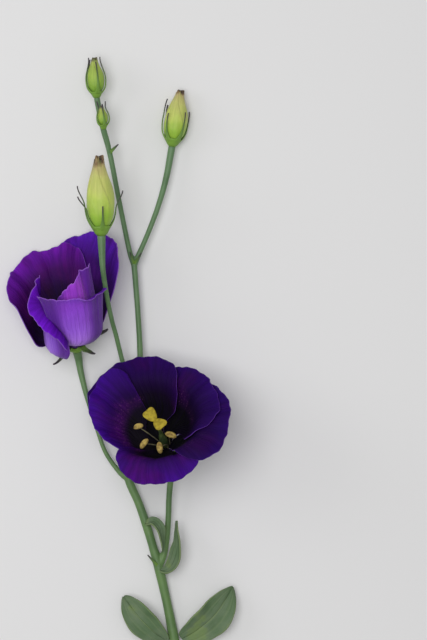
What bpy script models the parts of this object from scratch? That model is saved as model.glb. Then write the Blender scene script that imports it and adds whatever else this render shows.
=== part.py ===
"""A cut stem of lisianthus with an open bloom, a half-open bloom, four buds and leaves, laid on a surface.

Frame: the surface is z = 0 and +Z points up from it. The stem runs along +Y from its cut end, with the open
bloom facing up. While it is built, the cut end is near the origin; at the end everything is shifted so that the
origin is the middle of the underside of the whole bounding box. Lengths below are in millimetres and are turned
into metres when a mesh is made. Angles are in degrees.
"""

import math
from dataclasses import dataclass

import bmesh
import bpy
import numpy as np
from mathutils import Matrix, Vector

MM = 0.001

# Driving dimensions
PETAL_THICKNESS = 0.8
SEPAL_THICKNESS = 0.8
BUD_SEPAL_THICKNESS = 0.6
LEAF_THICKNESS = 0.8
SEAT_GAP = 0.35  # between pieces that touch on the plant
STEM_RADIUS = 2.75
PETALS = 5
STEM_SIDES = 8
CUP_SIDES = 20
BUD_SIDES = 15

# The foot of a flower, as heights above the top of its stalk and radii
CALYX_FLOOR = 1.4
CALYX_RADIUS = 5.1
CALYX_HEIGHT = 4.2
COROLLA_FLOOR = 1.0
COROLLA_RADIUS = 3.9
COROLLA_WALL = 0.9
COROLLA_CUP_HEIGHT = 6.2
RING_RADIUS = 2.25
RING_THICKNESS = 0.6
OVARY_RADIUS = 2.3
STYLE_RADIUS = 0.9
STYLE_TOP = 23.5
STIGMA_TURN = 130.0
STIGMA_TILT = -24.0
FILAMENT_RADIUS = 0.42
ANTHER_TILT = 70.0

COLOURS = {
    "petal": (0.10, 0.02, 0.30),
    "green": (0.16, 0.30, 0.10),
    "leaf": (0.20, 0.32, 0.18),
    "bud": (0.55, 0.62, 0.24),
    "anther": (0.55, 0.40, 0.10),
    "pistil": (0.62, 0.55, 0.08),
}


def blend(low, high, x):
    """0 below low, 1 above high, and a smooth step between."""
    t = np.clip((x - low) / (high - low), 0.0, 1.0)
    return t * t * (3.0 - 2.0 * t)


# ---------------------------------------------------------------- blooms


@dataclass(frozen=True)
class Petal:
    """One petal of a bloom, placed by its direction round the bloom's axis from the side nearest +X."""

    azimuth: float
    spread: float  # half the angle round the axis that it covers
    length: float  # from root to rim
    skew: float = 0.0  # how much longer its anticlockwise side is, as a share
    square: float = 0.0  # from 0, a round rim, to 1, one that is as long at its sides as in its middle
    lip: float = 0.0  # how far its rim is rolled out beyond its wall's own curl
    lip_width: float = 1.0
    lip_from: float = 0.0  # where across it the lip starts, towards its anticlockwise side
    own: tuple = ()  # belly, waist, flare, curl and fold where they aren't the bell's


@dataclass(frozen=True)
class Bloom:
    """One flower. Its petals lie on one bell, whose shape is given at five even directions round the axis."""

    name: str
    seat: tuple  # the top of its stalk
    axis: tuple  # the way its mouth faces
    petals: tuple
    first: float  # the first of the five directions, from which the petals spring
    belly: tuple  # how far the bell opens from the axis above the tube
    waist: float  # how far from the root the belly turns up into the wall
    flare: tuple  # how far the wall opens from the axis
    curl: tuple  # how much further the rim turns outwards
    fold: tuple  # how far from the root that turn is
    ease: float  # half the length that the turn takes
    overlap: float  # how far a petal's edges stand in front of and behind its neighbours'
    ruffle: float  # height of the waves at the rim
    sepal: float  # length of a sepal
    anthers: tuple  # each anther's direction, how far it stands from the axis, and its height


FRONT_BLOOM = Bloom(
    name="front_bloom",
    seat=(-4.6, 117.3, 20.0),
    axis=(-0.27, 0.57, 0.777),
    petals=(
        Petal(azimuth=35.0, spread=61.0, length=45.0),
        Petal(azimuth=111.0, spread=58.0, length=50.0, skew=0.06),
        Petal(azimuth=165.0, spread=50.0, length=43.0, skew=-0.30),
        Petal(azimuth=269.0, spread=66.0, length=43.0, skew=0.05),
        Petal(azimuth=352.0, spread=51.0, length=49.0),
    ),
    first=53.0,
    belly=(62.0, 62.0, 62.0, 62.0, 62.0),
    waist=12.0,
    flare=(36.0, 44.0, 42.0, 32.0, 42.0),
    curl=(45.0, 30.0, 40.0, 95.0, 55.0),
    fold=(34.0, 38.0, 34.0, 30.0, 34.0),
    ease=4.5,
    overlap=1.7,
    ruffle=1.1,
    sepal=19.0,
    anthers=(
        (95.0, 6.0, 13.0),
        (168.0, 10.0, 19.5),
        (219.0, 10.0, 15.0),
        (272.0, 9.0, 13.0),
        (340.0, 7.0, 13.5),
    ),
)
SIDE_BLOOM = Bloom(
    name="side_bloom",
    seat=(-53.6, 170.1, 9.0),
    axis=(-0.14, 0.84, 0.52),
    petals=(
        Petal(
            azimuth=286.0,
            spread=51.0,
            length=50.0,
            square=0.9,
            lip=70.0,
            lip_width=3.0,
            own=(64.0, 15.0, 10.0, 20.0, 47.0),
        ),
        Petal(
            azimuth=292.0,
            spread=53.0,
            length=51.0,
            skew=0.21,
            square=0.7,
            own=(60.0, 14.0, 0.0, 0.0, 60.0),
        ),
        Petal(azimuth=58.0, spread=51.0, length=61.0),
        Petal(azimuth=124.0, spread=66.0, length=54.5, skew=-0.05),
        Petal(
            azimuth=229.0,
            spread=38.0,
            length=51.0,
            skew=-0.22,
            square=0.8,
            lip=105.0,
            lip_width=8.5,
            lip_from=-0.6,
            own=(100.0, 14.0, -5.0, 0.0, 60.0),
        ),
    ),
    first=270.0,
    belly=(80.0, 78.0, 50.0, 55.0, 100.0),
    waist=15.0,
    flare=(12.0, 24.0, 26.0, 27.0, 14.0),
    curl=(75.0, 30.0, 20.0, 35.0, 25.0),
    fold=(45.0, 52.0, 50.0, 43.0, 44.0),
    ease=4.5,
    overlap=1.7,
    ruffle=1.0,
    sepal=17.0,
    anthers=(
        (270.0, 7.0, 13.0),
        (342.0, 6.0, 14.0),
        (54.0, 7.0, 12.5),
        (126.0, 6.5, 13.5),
        (198.0, 7.5, 13.0),
    ),
)

BELL_ROOT_RADIUS = COROLLA_RADIUS - COROLLA_WALL / 2
BELL_ROOT_HEIGHT = CALYX_FLOOR + SEAT_GAP * 2 + 1.0
TUBE_SLOPE = 10.0
TUBE_LENGTH = 3.5
PROFILE_STEPS = 24


def around(values, azimuth, first):
    """The five values blended smoothly round the bloom: exact at the five directions."""
    step = math.tau / len(values)
    total = 0.0
    for index, value in enumerate(values):
        turn = azimuth - math.radians(first) - index * step
        total = total + value * (1 + 2 * np.cos(turn) + 2 * np.cos(2 * turn)) / len(values)
    return total


def profile_slope(bloom, distance, belly, waist, flare, curl, fold):
    """A wall's angle from the bloom's axis and its rim's further turn, in degrees."""
    wall = belly + (flare - belly) * blend(waist - 5.0, waist + 7.0, distance)
    wall = TUBE_SLOPE + (wall - TUBE_SLOPE) * blend(0.0, 2.0 * TUBE_LENGTH, distance)
    return wall, curl * blend(fold - bloom.ease, fold + bloom.ease, distance)


def bell_slope(bloom, azimuth, distance):
    """The bell's angle from the bloom's axis, in degrees, at a distance from its root."""
    belly = around(bloom.belly, azimuth, bloom.first)
    flare = around(bloom.flare, azimuth, bloom.first)
    curl = around(bloom.curl, azimuth, bloom.first)
    fold = around(bloom.fold, azimuth, bloom.first)
    return profile_slope(bloom, distance, belly, bloom.waist, flare, curl, fold)


def petal_slope(bloom, petal, across, azimuth, distance, rim):
    """The same angle on one petal, in radians, with the petal's own form and lip."""
    if petal.own:
        wall, curl = profile_slope(bloom, distance, *petal.own)
    else:
        wall, curl = bell_slope(bloom, azimuth, distance)
    lip = petal.lip * blend(petal.lip_from, petal.lip_from + 0.5, across)
    turn = rim - petal.lip_width
    return np.radians(wall + curl + lip * blend(turn - 3.5, turn + 3.5, distance))


def on_bell(slope_at, azimuth, distance, lift):
    """Points at a distance from the root along a profile of the given slope, lifted outwards from it."""
    share = (np.arange(PROFILE_STEPS) + 0.5) / PROFILE_STEPS
    slopes = np.stack([slope_at(distance * step) for step in share])
    radius = BELL_ROOT_RADIUS + np.sin(slopes).mean(0) * distance
    height = BELL_ROOT_HEIGHT + np.cos(slopes).mean(0) * distance
    end = slope_at(distance)
    radius = radius + lift * np.cos(end)
    height = height - lift * np.sin(end)
    return np.stack([radius * np.cos(azimuth), radius * np.sin(azimuth), height], -1)


def bloom_matrix(seat, axis):
    """Places a flower made upright at the origin: its z on the axis, its x as near +X as it can be."""
    up = Vector(axis).normalized()
    side = (Vector((1.0, 0.0, 0.0)) - up * up.x).normalized()
    turn = Matrix((side, up.cross(side), up)).transposed()
    return Matrix.Translation(Vector(seat)) @ turn.to_4x4()


def petal_turn(bloom, petal, distance):
    """A petal's direction, in degrees. The petals spring evenly from the tube and then turn to their own."""
    root = bloom.first + bloom.petals.index(petal) * 360.0 / PETALS
    turn = (petal.azimuth - root + 180.0) % 360.0 - 180.0
    return root + turn * blend(6.0, 20.0, distance)


def petal_points(bloom, petal, along, across):
    """Points of one petal: along runs 0 to 1 from root to rim, across -1 to 1 from edge to edge."""
    round_off = (0.10 * across**2 + 0.26 * np.abs(across) ** 5) * (1.0 - petal.square)
    rim = petal.length * (1.0 + petal.skew * across - round_off)
    distance = along * rim
    reach = np.radians(37.0 + (petal.spread - 37.0) * blend(6.0, 20.0, distance))
    azimuth = np.radians(petal_turn(bloom, petal, distance)) + reach * across
    share = distance / petal.length
    lift = bloom.overlap * across * blend(3.0, 11.0, distance)
    lift = lift + bloom.ruffle * share**4 * np.sin(11.0 * azimuth)
    return on_bell(
        lambda reached: petal_slope(bloom, petal, across, azimuth, reached, rim),
        azimuth,
        distance,
        lift,
    )


# ---------------------------------------------------------------- mesh helpers


def grid_blade(points_of, rows, columns, thickness, name):
    """A closed thin blade: a grid placed by a formula of (along, across), then given its thickness."""
    mesh = bmesh.new()
    bmesh.ops.create_grid(mesh, x_segments=columns, y_segments=rows, size=1.0)
    mesh.verts.ensure_lookup_table()
    flat = np.array([vert.co[:] for vert in mesh.verts])
    placed = points_of((flat[:, 1] + 1.0) / 2.0, flat[:, 0])
    for vert, point in zip(mesh.verts, placed):
        vert.co = Vector(point)
    bmesh.ops.triangulate(mesh, faces=mesh.faces, quad_method="FIXED")
    obj = mesh_object(mesh, name)
    wall = obj.modifiers.new("thickness", "SOLIDIFY")
    wall.thickness = thickness * MM
    wall.offset = 0.0
    return apply_modifiers(obj)


def mesh_object(mesh, name):
    """A new object from a bmesh in millimetres, with its faces outwards."""
    bmesh.ops.scale(mesh, vec=(MM, MM, MM), verts=mesh.verts)
    data = bpy.data.meshes.new(name)
    mesh.to_mesh(data)
    mesh.free()
    obj = bpy.data.objects.new(name, data)
    bpy.context.scene.collection.objects.link(obj)
    return obj


def apply_modifiers(obj):
    """Replaces the object's mesh by the evaluated one."""
    graph = bpy.context.evaluated_depsgraph_get()
    made = bpy.data.meshes.new_from_object(obj.evaluated_get(graph))
    obj.modifiers.clear()
    old = obj.data
    obj.data = made
    bpy.data.meshes.remove(old)
    return obj


def sweep(route, radii, sides, name, turn=0.0):
    """A closed tube along a route: one flat cap pushed on from point to point."""
    frames = route_frames(route)
    mesh = bmesh.new()
    bmesh.ops.create_circle(mesh, cap_ends=True, segments=sides, radius=1.0)
    spun = Matrix.Rotation(math.radians(turn), 4, "Z")
    placed = [frame @ spun @ Matrix.Scale(radius, 4) for frame, radius in zip(frames, radii)]
    bmesh.ops.transform(mesh, matrix=placed[0], verts=mesh.verts)
    cap = mesh.faces[:][0]
    for before, after in zip(placed, placed[1:]):
        pushed = bmesh.ops.extrude_face_region(mesh, geom=[cap, *cap.edges, *cap.verts])["geom"]
        cap = next(item for item in pushed if isinstance(item, bmesh.types.BMFace))
        bmesh.ops.transform(mesh, matrix=after @ before.inverted(), verts=cap.verts)
    bmesh.ops.recalc_face_normals(mesh, faces=mesh.faces)
    return mesh_object(mesh, name)


def route_frames(route):
    """A frame at each point of a route: z along it, y as near up as can be, carried on where it is steep."""
    frames = []
    up = Vector((0.0, 0.0, 1.0))
    for index, point in enumerate(route):
        ahead = route[min(index + 1, len(route) - 1)] - route[max(index - 1, 0)]
        ahead.normalize()
        side = up.cross(ahead).normalized()
        up = ahead.cross(side).normalized()
        turn = Matrix((side, up, ahead)).transposed().to_4x4()
        frames.append(Matrix.Translation(point) @ turn)
    return frames


def smooth_route(knots, step):
    """Points about a step apart on a Catmull-Rom curve through the knots."""
    points = [Vector(knot) for knot in knots]
    padded = [points[0] * 2 - points[1], *points, points[-1] * 2 - points[-2]]
    route = [points[0]]
    for a, b, c, d in zip(padded, padded[1:], padded[2:], padded[3:]):
        pieces = max(1, round((c - b).length / step))
        for piece in range(1, pieces + 1):
            t = piece / pieces
            route.append(
                0.5 * (2 * b + (c - a) * t + (2 * a - 5 * b + 4 * c - d) * t**2)
                + 0.5 * (3 * b - a - 3 * c + d) * t**3
            )
    return route


def turned(profile, sides, name):
    """A solid turned round z from its half outline, which runs from the axis at the bottom to the top."""
    mesh = bmesh.new()
    corners = [mesh.verts.new((radius, 0.0, height)) for radius, height in profile]
    edges = [mesh.edges.new(pair) for pair in zip(corners, corners[1:])]
    bmesh.ops.spin(
        mesh,
        geom=[*corners, *edges],
        cent=(0.0, 0.0, 0.0),
        axis=(0.0, 0.0, 1.0),
        angle=math.tau,
        steps=sides,
        use_merge=True,
    )
    bmesh.ops.remove_doubles(mesh, verts=mesh.verts, dist=0.0001)
    bmesh.ops.recalc_face_normals(mesh, faces=mesh.faces)
    return mesh_object(mesh, name)


def union(name, pieces):
    """One body from pieces that run into each other."""
    body, *others = pieces
    body.name = name
    if others:
        group = bpy.data.collections.new(f"{name}_pieces")
        for piece in others:
            group.objects.link(piece)
        join = body.modifiers.new("join", "BOOLEAN")
        join.operation = "UNION"
        join.operand_type = "COLLECTION"
        join.collection = group
        join.solver = "MANIFOLD"
        bpy.context.view_layer.update()
        apply_modifiers(body)
        for piece in others:
            bpy.data.objects.remove(piece)
        bpy.data.collections.remove(group)
    return drop_loose(body)


def drop_loose(body):
    """Keeps the largest shell: a hollow sealed by the joining is filled, and a loose scrap goes."""
    mesh = bmesh.new()
    mesh.from_mesh(body.data)
    left = set(mesh.verts)
    shells = []
    while left:
        shell = {left.pop()}
        edge = set(shell)
        while edge:
            edge = {link.other_vert(vert) for vert in edge for link in vert.link_edges} - shell
            shell |= edge
        left -= shell
        shells.append(shell)
    shells.sort(key=len)
    for shell in shells[:-1]:
        bmesh.ops.delete(mesh, geom=list(shell), context="VERTS")
    mesh.to_mesh(body.data)
    mesh.free()
    return body


def move(obj, matrix):
    """Moves an object's own mesh by a matrix in millimetres."""
    scaled = matrix.copy()
    scaled.translation = matrix.translation * MM
    obj.data.transform(scaled)
    return obj


def press_flat(obj):
    """What would reach below the surface lies flat on it."""
    for vert in obj.data.vertices:
        vert.co.z = max(vert.co.z, 0.0)
    return obj


def finish(obj, colour, sharp=40.0):
    """Gives a node its material and shading."""
    material = bpy.data.materials.get(colour) or bpy.data.materials.new(colour)
    material.use_nodes = True
    shader = material.node_tree.nodes["Principled BSDF"]
    shader.inputs["Base Color"].default_value = (*COLOURS[colour], 1.0)
    shader.inputs["Roughness"].default_value = 0.6
    shader.inputs["Metallic"].default_value = 0.0
    obj.data.materials.clear()
    obj.data.materials.append(material)
    obj.data.shade_smooth()
    obj.data.set_sharp_from_angle(angle=math.radians(sharp))
    return obj


# ---------------------------------------------------------------- parts of a bloom


def make_corolla(bloom, rows=10, columns=8):
    """Five overlapping petals on the short tube that they grow together in."""
    floor = CALYX_FLOOR + SEAT_GAP * 2
    inner = COROLLA_RADIUS - COROLLA_WALL
    rim = COROLLA_RADIUS + 1.4
    cup = turned(
        [
            (0.0, floor),
            (COROLLA_RADIUS - 0.8, floor),
            (COROLLA_RADIUS, floor + 1.0),
            (rim, COROLLA_CUP_HEIGHT),
            (rim - COROLLA_WALL, COROLLA_CUP_HEIGHT),
            (inner, floor + COROLLA_FLOOR + 0.5),
            (inner, floor + COROLLA_FLOOR),
            (0.0, floor + COROLLA_FLOOR),
        ],
        CUP_SIDES,
        "tube",
    )
    petals = [
        grid_blade(
            lambda along, across, petal=petal: petal_points(
                bloom, petal, 0.06 + 0.94 * along, across
            ),
            rows,
            columns,
            PETAL_THICKNESS,
            "petal",
        )
        for petal in bloom.petals
    ]
    corolla = union(f"{bloom.name}_corolla", [cup, *petals])
    move(corolla, bloom_matrix(bloom.seat, bloom.axis))
    return finish(press_flat(corolla), "petal")


def make_calyx(bloom):
    """The green cup under the petals, with its five narrow sepals."""
    cup = turned(
        [
            (0.0, SEAT_GAP),
            (2.6, SEAT_GAP),
            (CALYX_RADIUS - 0.4, CALYX_FLOOR),
            (CALYX_RADIUS, CALYX_HEIGHT),
            (COROLLA_RADIUS + SEAT_GAP + 0.2, CALYX_HEIGHT),
            (COROLLA_RADIUS + SEAT_GAP, CALYX_FLOOR + SEAT_GAP),
            (0.0, CALYX_FLOOR + SEAT_GAP),
        ],
        CUP_SIDES,
        "cup",
    )
    clear = bloom.overlap + PETAL_THICKNESS + SEPAL_THICKNESS + SEAT_GAP

    def sepal_points(along, across, index):
        distance = 1.5 + along * bloom.sepal
        middle = math.radians(bloom.first) + (index + 0.5) * math.tau / PETALS
        half_width = 1.9 * (1.0 - along) ** 0.7 + 0.35
        radius = BELL_ROOT_RADIUS + 0.4 * distance
        azimuth = middle + across * half_width / radius
        lift = 1.2 + (clear - 1.2) * blend(2.0, 9.0, distance) + 2.5 * blend(0.7, 1.0, along)
        lift = lift + 0.4 * (1.0 - np.abs(across))
        return on_bell(
            lambda reached: np.radians(bell_slope(bloom, azimuth, reached)[0]),
            azimuth,
            distance,
            lift,
        )

    sepals = [
        grid_blade(
            lambda along, across, index=index: sepal_points(along, across, index),
            6,
            2,
            SEPAL_THICKNESS,
            f"sepal_{index}",
        )
        for index in range(PETALS)
    ]
    calyx = union(f"{bloom.name}_calyx", [cup, *sepals])
    move(calyx, bloom_matrix(bloom.seat, bloom.axis))
    return finish(press_flat(calyx), "green")


def cup_floor():
    """The height of the floor inside the corolla, where the pistil and stamens stand."""
    return CALYX_FLOOR + SEAT_GAP * 2 + COROLLA_FLOOR + SEAT_GAP


def make_pistil(bloom):
    """The ovary, its style and the stigma's two lobes."""
    foot = cup_floor()
    ovary = turned(
        [
            (0.0, foot),
            (1.4, foot),
            (1.4, foot + 1.4),
            (OVARY_RADIUS, foot + 4.5),
            (OVARY_RADIUS * 0.85, foot + 9.0),
            (STYLE_RADIUS, foot + 12.5),
            (STYLE_RADIUS, foot + STYLE_TOP),
            (0.0, foot + STYLE_TOP),
        ],
        10,
        "ovary",
    )
    lobes = []
    for turn in (0.0, 180.0):
        lobe = turned(
            [(0.0, -1.7), (2.6, -1.2), (4.2, 0.0), (2.6, 1.2), (0.0, 1.7)], 10, "lobe"
        )
        placed = (
            Matrix.Rotation(math.radians(turn + STIGMA_TURN), 4, "Z")
            @ Matrix.Translation((3.3, 0.0, foot + STYLE_TOP + 0.6))
            @ Matrix.Rotation(math.radians(STIGMA_TILT), 4, "Y")
        )
        lobes.append(move(lobe, placed))
    pistil = union(f"{bloom.name}_pistil", [ovary, *lobes])
    move(pistil, bloom_matrix(bloom.seat, bloom.axis))
    return finish(pistil, "pistil")


def polar(azimuth):
    """A unit vector square to the bloom's axis."""
    return Vector((math.cos(azimuth), math.sin(azimuth), 0.0))


def make_stamens(bloom):
    """Five thin filaments with their anthers, on the ring that they spring from."""
    foot = cup_floor()
    outer = RING_RADIUS + RING_THICKNESS / 2
    inner = RING_RADIUS - RING_THICKNESS / 2
    ring = turned(
        [(inner, foot), (outer, foot), (outer, foot + 1.0), (inner, foot + 1.0), (inner, foot)],
        PETALS * 3,
        "ring",
    )
    pieces = [ring]
    for index, (direction, reach, height) in enumerate(bloom.anthers):
        spring = polar(math.radians(bloom.first) + (index + 0.5) * math.tau / PETALS)
        outward = polar(math.radians(direction))
        knots = [
            spring * RING_RADIUS + Vector((0.0, 0.0, foot + 0.4)),
            spring * (RING_RADIUS + 1.4) + Vector((0.0, 0.0, foot + 6.0)),
            outward * reach + Vector((0.0, 0.0, foot + height)),
        ]
        route = smooth_route(knots, 4.0)
        pieces.append(sweep(route, [FILAMENT_RADIUS] * len(route), 4, "filament"))
        anther = turned([(0.0, -2.6), (1.1, -1.4), (1.1, 1.4), (0.0, 2.6)], 6, "anther")
        across = outward.cross(Vector((0.0, 0.0, 1.0)))
        tilt = Matrix.Rotation(math.radians(ANTHER_TILT), 4, across)
        pieces.append(move(anther, Matrix.Translation(knots[-1]) @ tilt))
    stamens = union(f"{bloom.name}_stamens", pieces)
    move(stamens, bloom_matrix(bloom.seat, bloom.axis))
    return finish(stamens, "anther")


# ---------------------------------------------------------------- buds


@dataclass(frozen=True)
class Bud:
    """One closed bud on its stalk."""

    name: str
    seat: tuple
    axis: tuple
    length: float
    radius: float
    sepals: tuple  # each sepal's direction, the share of the bud it reaches and how far its tip stands off


BUDS = (
    Bud(
        name="tall_bud",
        seat=(-39.4, 231.0, 37.0),
        axis=(-0.03, 0.99, 0.06),
        length=41.0,
        radius=7.4,
        sepals=((15, 0.56, 3.0), (100, 0.60, 2.5), (172, 0.64, 5.0), (212, 0.50, 5.5), (280, 0.36, 0.5)),
    ),
    Bud(
        name="top_bud",
        seat=(-42.9, 305.6, 12.0),
        axis=(-0.06, 0.99, 0.06),
        length=20.0,
        radius=4.6,
        sepals=((5, 1.06, 1.2), (75, 0.96, 0.8), (150, 1.0, 0.8), (200, 1.02, 1.4), (285, 0.90, 0.3)),
    ),
    Bud(
        name="small_bud",
        seat=(-38.9, 288.4, 17.5),
        axis=(-0.10, 0.98, 0.16),
        length=10.5,
        radius=2.8,
        sepals=((10, 1.25, 0.6), (80, 1.1, 0.4), (150, 1.2, 0.4), (215, 1.3, 0.8), (285, 1.15, 0.4)),
    ),
    Bud(
        name="resting_bud",
        seat=(-2.7, 279.8, 5.9),
        axis=(0.15, 0.99, 0.0),
        length=28.0,
        radius=6.2,
        sepals=((24, 0.66, 1.0), (138, 0.74, 2.6), (180, 0.84, 2.2), (232, 0.56, 0.4), (310, 0.62, 0.6)),
    ),
)
BUD_PROFILE = (
    (0.00, 0.30),
    (0.09, 0.64),
    (0.20, 0.92),
    (0.33, 1.00),
    (0.46, 1.00),
    (0.60, 0.89),
    (0.72, 0.71),
    (0.85, 0.49),
    (0.95, 0.36),
    (1.00, 0.31),
)
BUD_CUP = 0.13  # how far up the calyx is closed round the bud, as a share of its length
BUD_CALYX_WALL = 0.8
BUD_LAP = 0.10  # depth of a spiral lap, as a share of the radius
BUD_TWIST = 1.6


def bud_radius(share):
    """The bud's radius at a share of its length, as a share of its greatest radius."""
    places, values = zip(*BUD_PROFILE)
    return np.interp(share, places, values)


def make_bud(bud):
    """The rolled petals: a spindle with five spiral laps, pinched to a blunt tip."""
    foot = CALYX_FLOOR + SEAT_GAP
    rings = [(width * bud.radius, foot + share * bud.length) for share, width in BUD_PROFILE]
    obj = turned([(0.0, foot), *rings, (0.0, rings[-1][1])], BUD_SIDES, f"{bud.name}_petals")
    for vert in obj.data.vertices:
        share = vert.co.z / MM / bud.length
        lap = math.atan2(vert.co.y, vert.co.x) / math.tau * PETALS + BUD_TWIST * share
        swell = 1.0 + BUD_LAP * (lap % 1.0 - 0.5) * blend(0.50, 0.65, share)
        vert.co.x *= swell
        vert.co.y *= swell
    move(obj, bloom_matrix(bud.seat, bud.axis))
    return finish(press_flat(obj), "bud")


def make_bud_calyx(bud):
    """The bud's small green cup and its five narrow pointed sepals."""
    clear = SEAT_GAP + 0.05

    def skin(share, lift):
        return (bud_radius(share) * bud.radius + lift, CALYX_FLOOR + share * bud.length)

    shares = (0.0, BUD_CUP / 2, BUD_CUP)
    outside = [skin(share, clear + BUD_CALYX_WALL) for share in shares]
    inside = [skin(share, clear) for share in reversed(shares)]
    cup = turned(
        [(0.0, SEAT_GAP), (1.2, SEAT_GAP), *outside, *inside, (0.0, inside[-1][1])],
        BUD_SIDES,
        "cup",
    )

    def sepal_points(along, across, sepal):
        direction, reach, spread = sepal
        share = BUD_CUP * 0.4 + along * (reach - BUD_CUP * 0.4)
        stand = clear + BUD_CALYX_WALL * 0.5 + 0.35 * blend(0.1, 0.4, along)
        radius = bud_radius(share) * bud.radius * (1.0 + 0.05 * blend(0.3, 0.6, along)) + stand
        width = BUD_SEPAL_THICKNESS + 0.42 * bud.radius * (1.0 - along) ** 2.5
        azimuth = math.radians(direction) + across * width / 2 / radius
        radius = radius + spread * blend(0.55, 1.05, along)
        height = CALYX_FLOOR + share * bud.length
        return np.stack([radius * np.cos(azimuth), radius * np.sin(azimuth), height], -1)

    sepals = [
        grid_blade(
            lambda along, across, sepal=sepal: sepal_points(along, across, sepal),
            7,
            1,
            BUD_SEPAL_THICKNESS,
            "sepal",
        )
        for sepal in bud.sepals
    ]
    calyx = union(f"{bud.name}_calyx", [cup, *sepals])
    move(calyx, bloom_matrix(bud.seat, bud.axis))
    return finish(press_flat(calyx), "green")


# ---------------------------------------------------------------- leaves


@dataclass(frozen=True)
class Leaf:
    """One blade: its midrib's route, its width, and where its upper face looks at the root and at the tip."""

    name: str
    midrib: tuple
    width: float
    root_face: tuple
    tip_face: tuple
    trough: float  # how far the edges stand above the midrib, as a share of the half width
    wave: float
    belly: float  # under 1 it is widest nearer the root, over 1 nearer the tip
    blunt: float  # the smaller, the rounder its ends


LEAVES = (
    Leaf(
        "low_left_leaf",
        ((-5.6, 14.0, 4.0), (-13.0, 19.5, 7.0), (-21.0, 27.5, 8.0), (-28.5, 38.0, 6.0)),
        15.0,
        (-0.2, -0.3, 1.0),
        (-0.1, 0.1, 1.0),
        0.25,
        0.8,
        1.15,
        0.6,
    ),
    Leaf(
        "low_right_leaf",
        ((2.6, 15.0, 4.0), (11.0, 20.0, 7.5), (21.0, 29.0, 9.0), (30.0, 43.0, 5.5)),
        18.0,
        (0.2, -0.3, 1.0),
        (0.3, 0.1, 1.0),
        0.25,
        1.0,
        1.0,
        0.65,
    ),
    Leaf(
        "middle_leaf",
        ((-6.0, 52.0, 5.4), (-1.0, 53.5, 9.0), (2.4, 60.0, 12.0), (2.2, 69.0, 12.0), (0.5, 79.0, 9.0)),
        6.8,
        (0.2, 0.6, 1.0),
        (-1.0, 0.0, 0.5),
        0.45,
        0.4,
        0.8,
        0.75,
    ),
    Leaf(
        "upper_leaf",
        ((-16.4, 77.4, 8.5), (-12.2, 79.6, 11.8), (-8.4, 75.8, 13.4), (-7.6, 68.0, 12.0), (-7.8, 62.0, 10.6)),
        5.6,
        (0.0, 0.6, 1.0),
        (1.0, 0.2, 0.8),
        0.35,
        0.3,
        0.8,
        0.75,
    ),
)


def leaf_points(leaf, along, across):
    """Points of a leaf blade: along its midrib from 0 to 1, across from -1 to 1."""
    fine = smooth_route(leaf.midrib, 0.5)
    points = np.array([point[:] for point in fine])
    gaps = np.linalg.norm(np.diff(points, axis=0), axis=1)
    places = np.concatenate([[0.0], np.cumsum(gaps)])
    places = places / places[-1]
    spine = np.stack([np.interp(along, places, points[:, axis]) for axis in range(3)], -1)
    slopes = np.gradient(points, places, axis=0)
    ahead = np.stack([np.interp(along, places, slopes[:, axis]) for axis in range(3)], -1)
    ahead = ahead / np.linalg.norm(ahead, axis=-1, keepdims=True)
    share = along[:, None]
    face = np.array(leaf.root_face) * (1 - share) + np.array(leaf.tip_face) * share
    side = np.cross(ahead, face)
    side = side / np.linalg.norm(side, axis=-1, keepdims=True)
    normal = np.cross(side, ahead)
    outline = 0.24 * (1 - along) ** 3 + np.sin(math.pi * np.clip(along, 0, 1) ** leaf.belly) ** leaf.blunt
    half = leaf.width / 2 * np.clip(outline, 0.06, None)
    rise = leaf.trough * half * across**2
    rise = rise + leaf.wave * np.sin(9.0 * along + 2.0 * across) * np.abs(across)
    return spine + side * (half * across)[:, None] + normal * rise[:, None]


def make_leaf(leaf):
    """One leaf as a thin closed blade."""
    blade = grid_blade(
        lambda along, across: leaf_points(leaf, along, across), 9, 4, LEAF_THICKNESS, leaf.name
    )
    return finish(press_flat(blade), "leaf")


# ---------------------------------------------------------------- the stem


@dataclass(frozen=True)
class Branch:
    """A stretch of stem: the points that it runs through and its radius at each."""

    name: str
    knots: tuple
    radii: tuple


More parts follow.
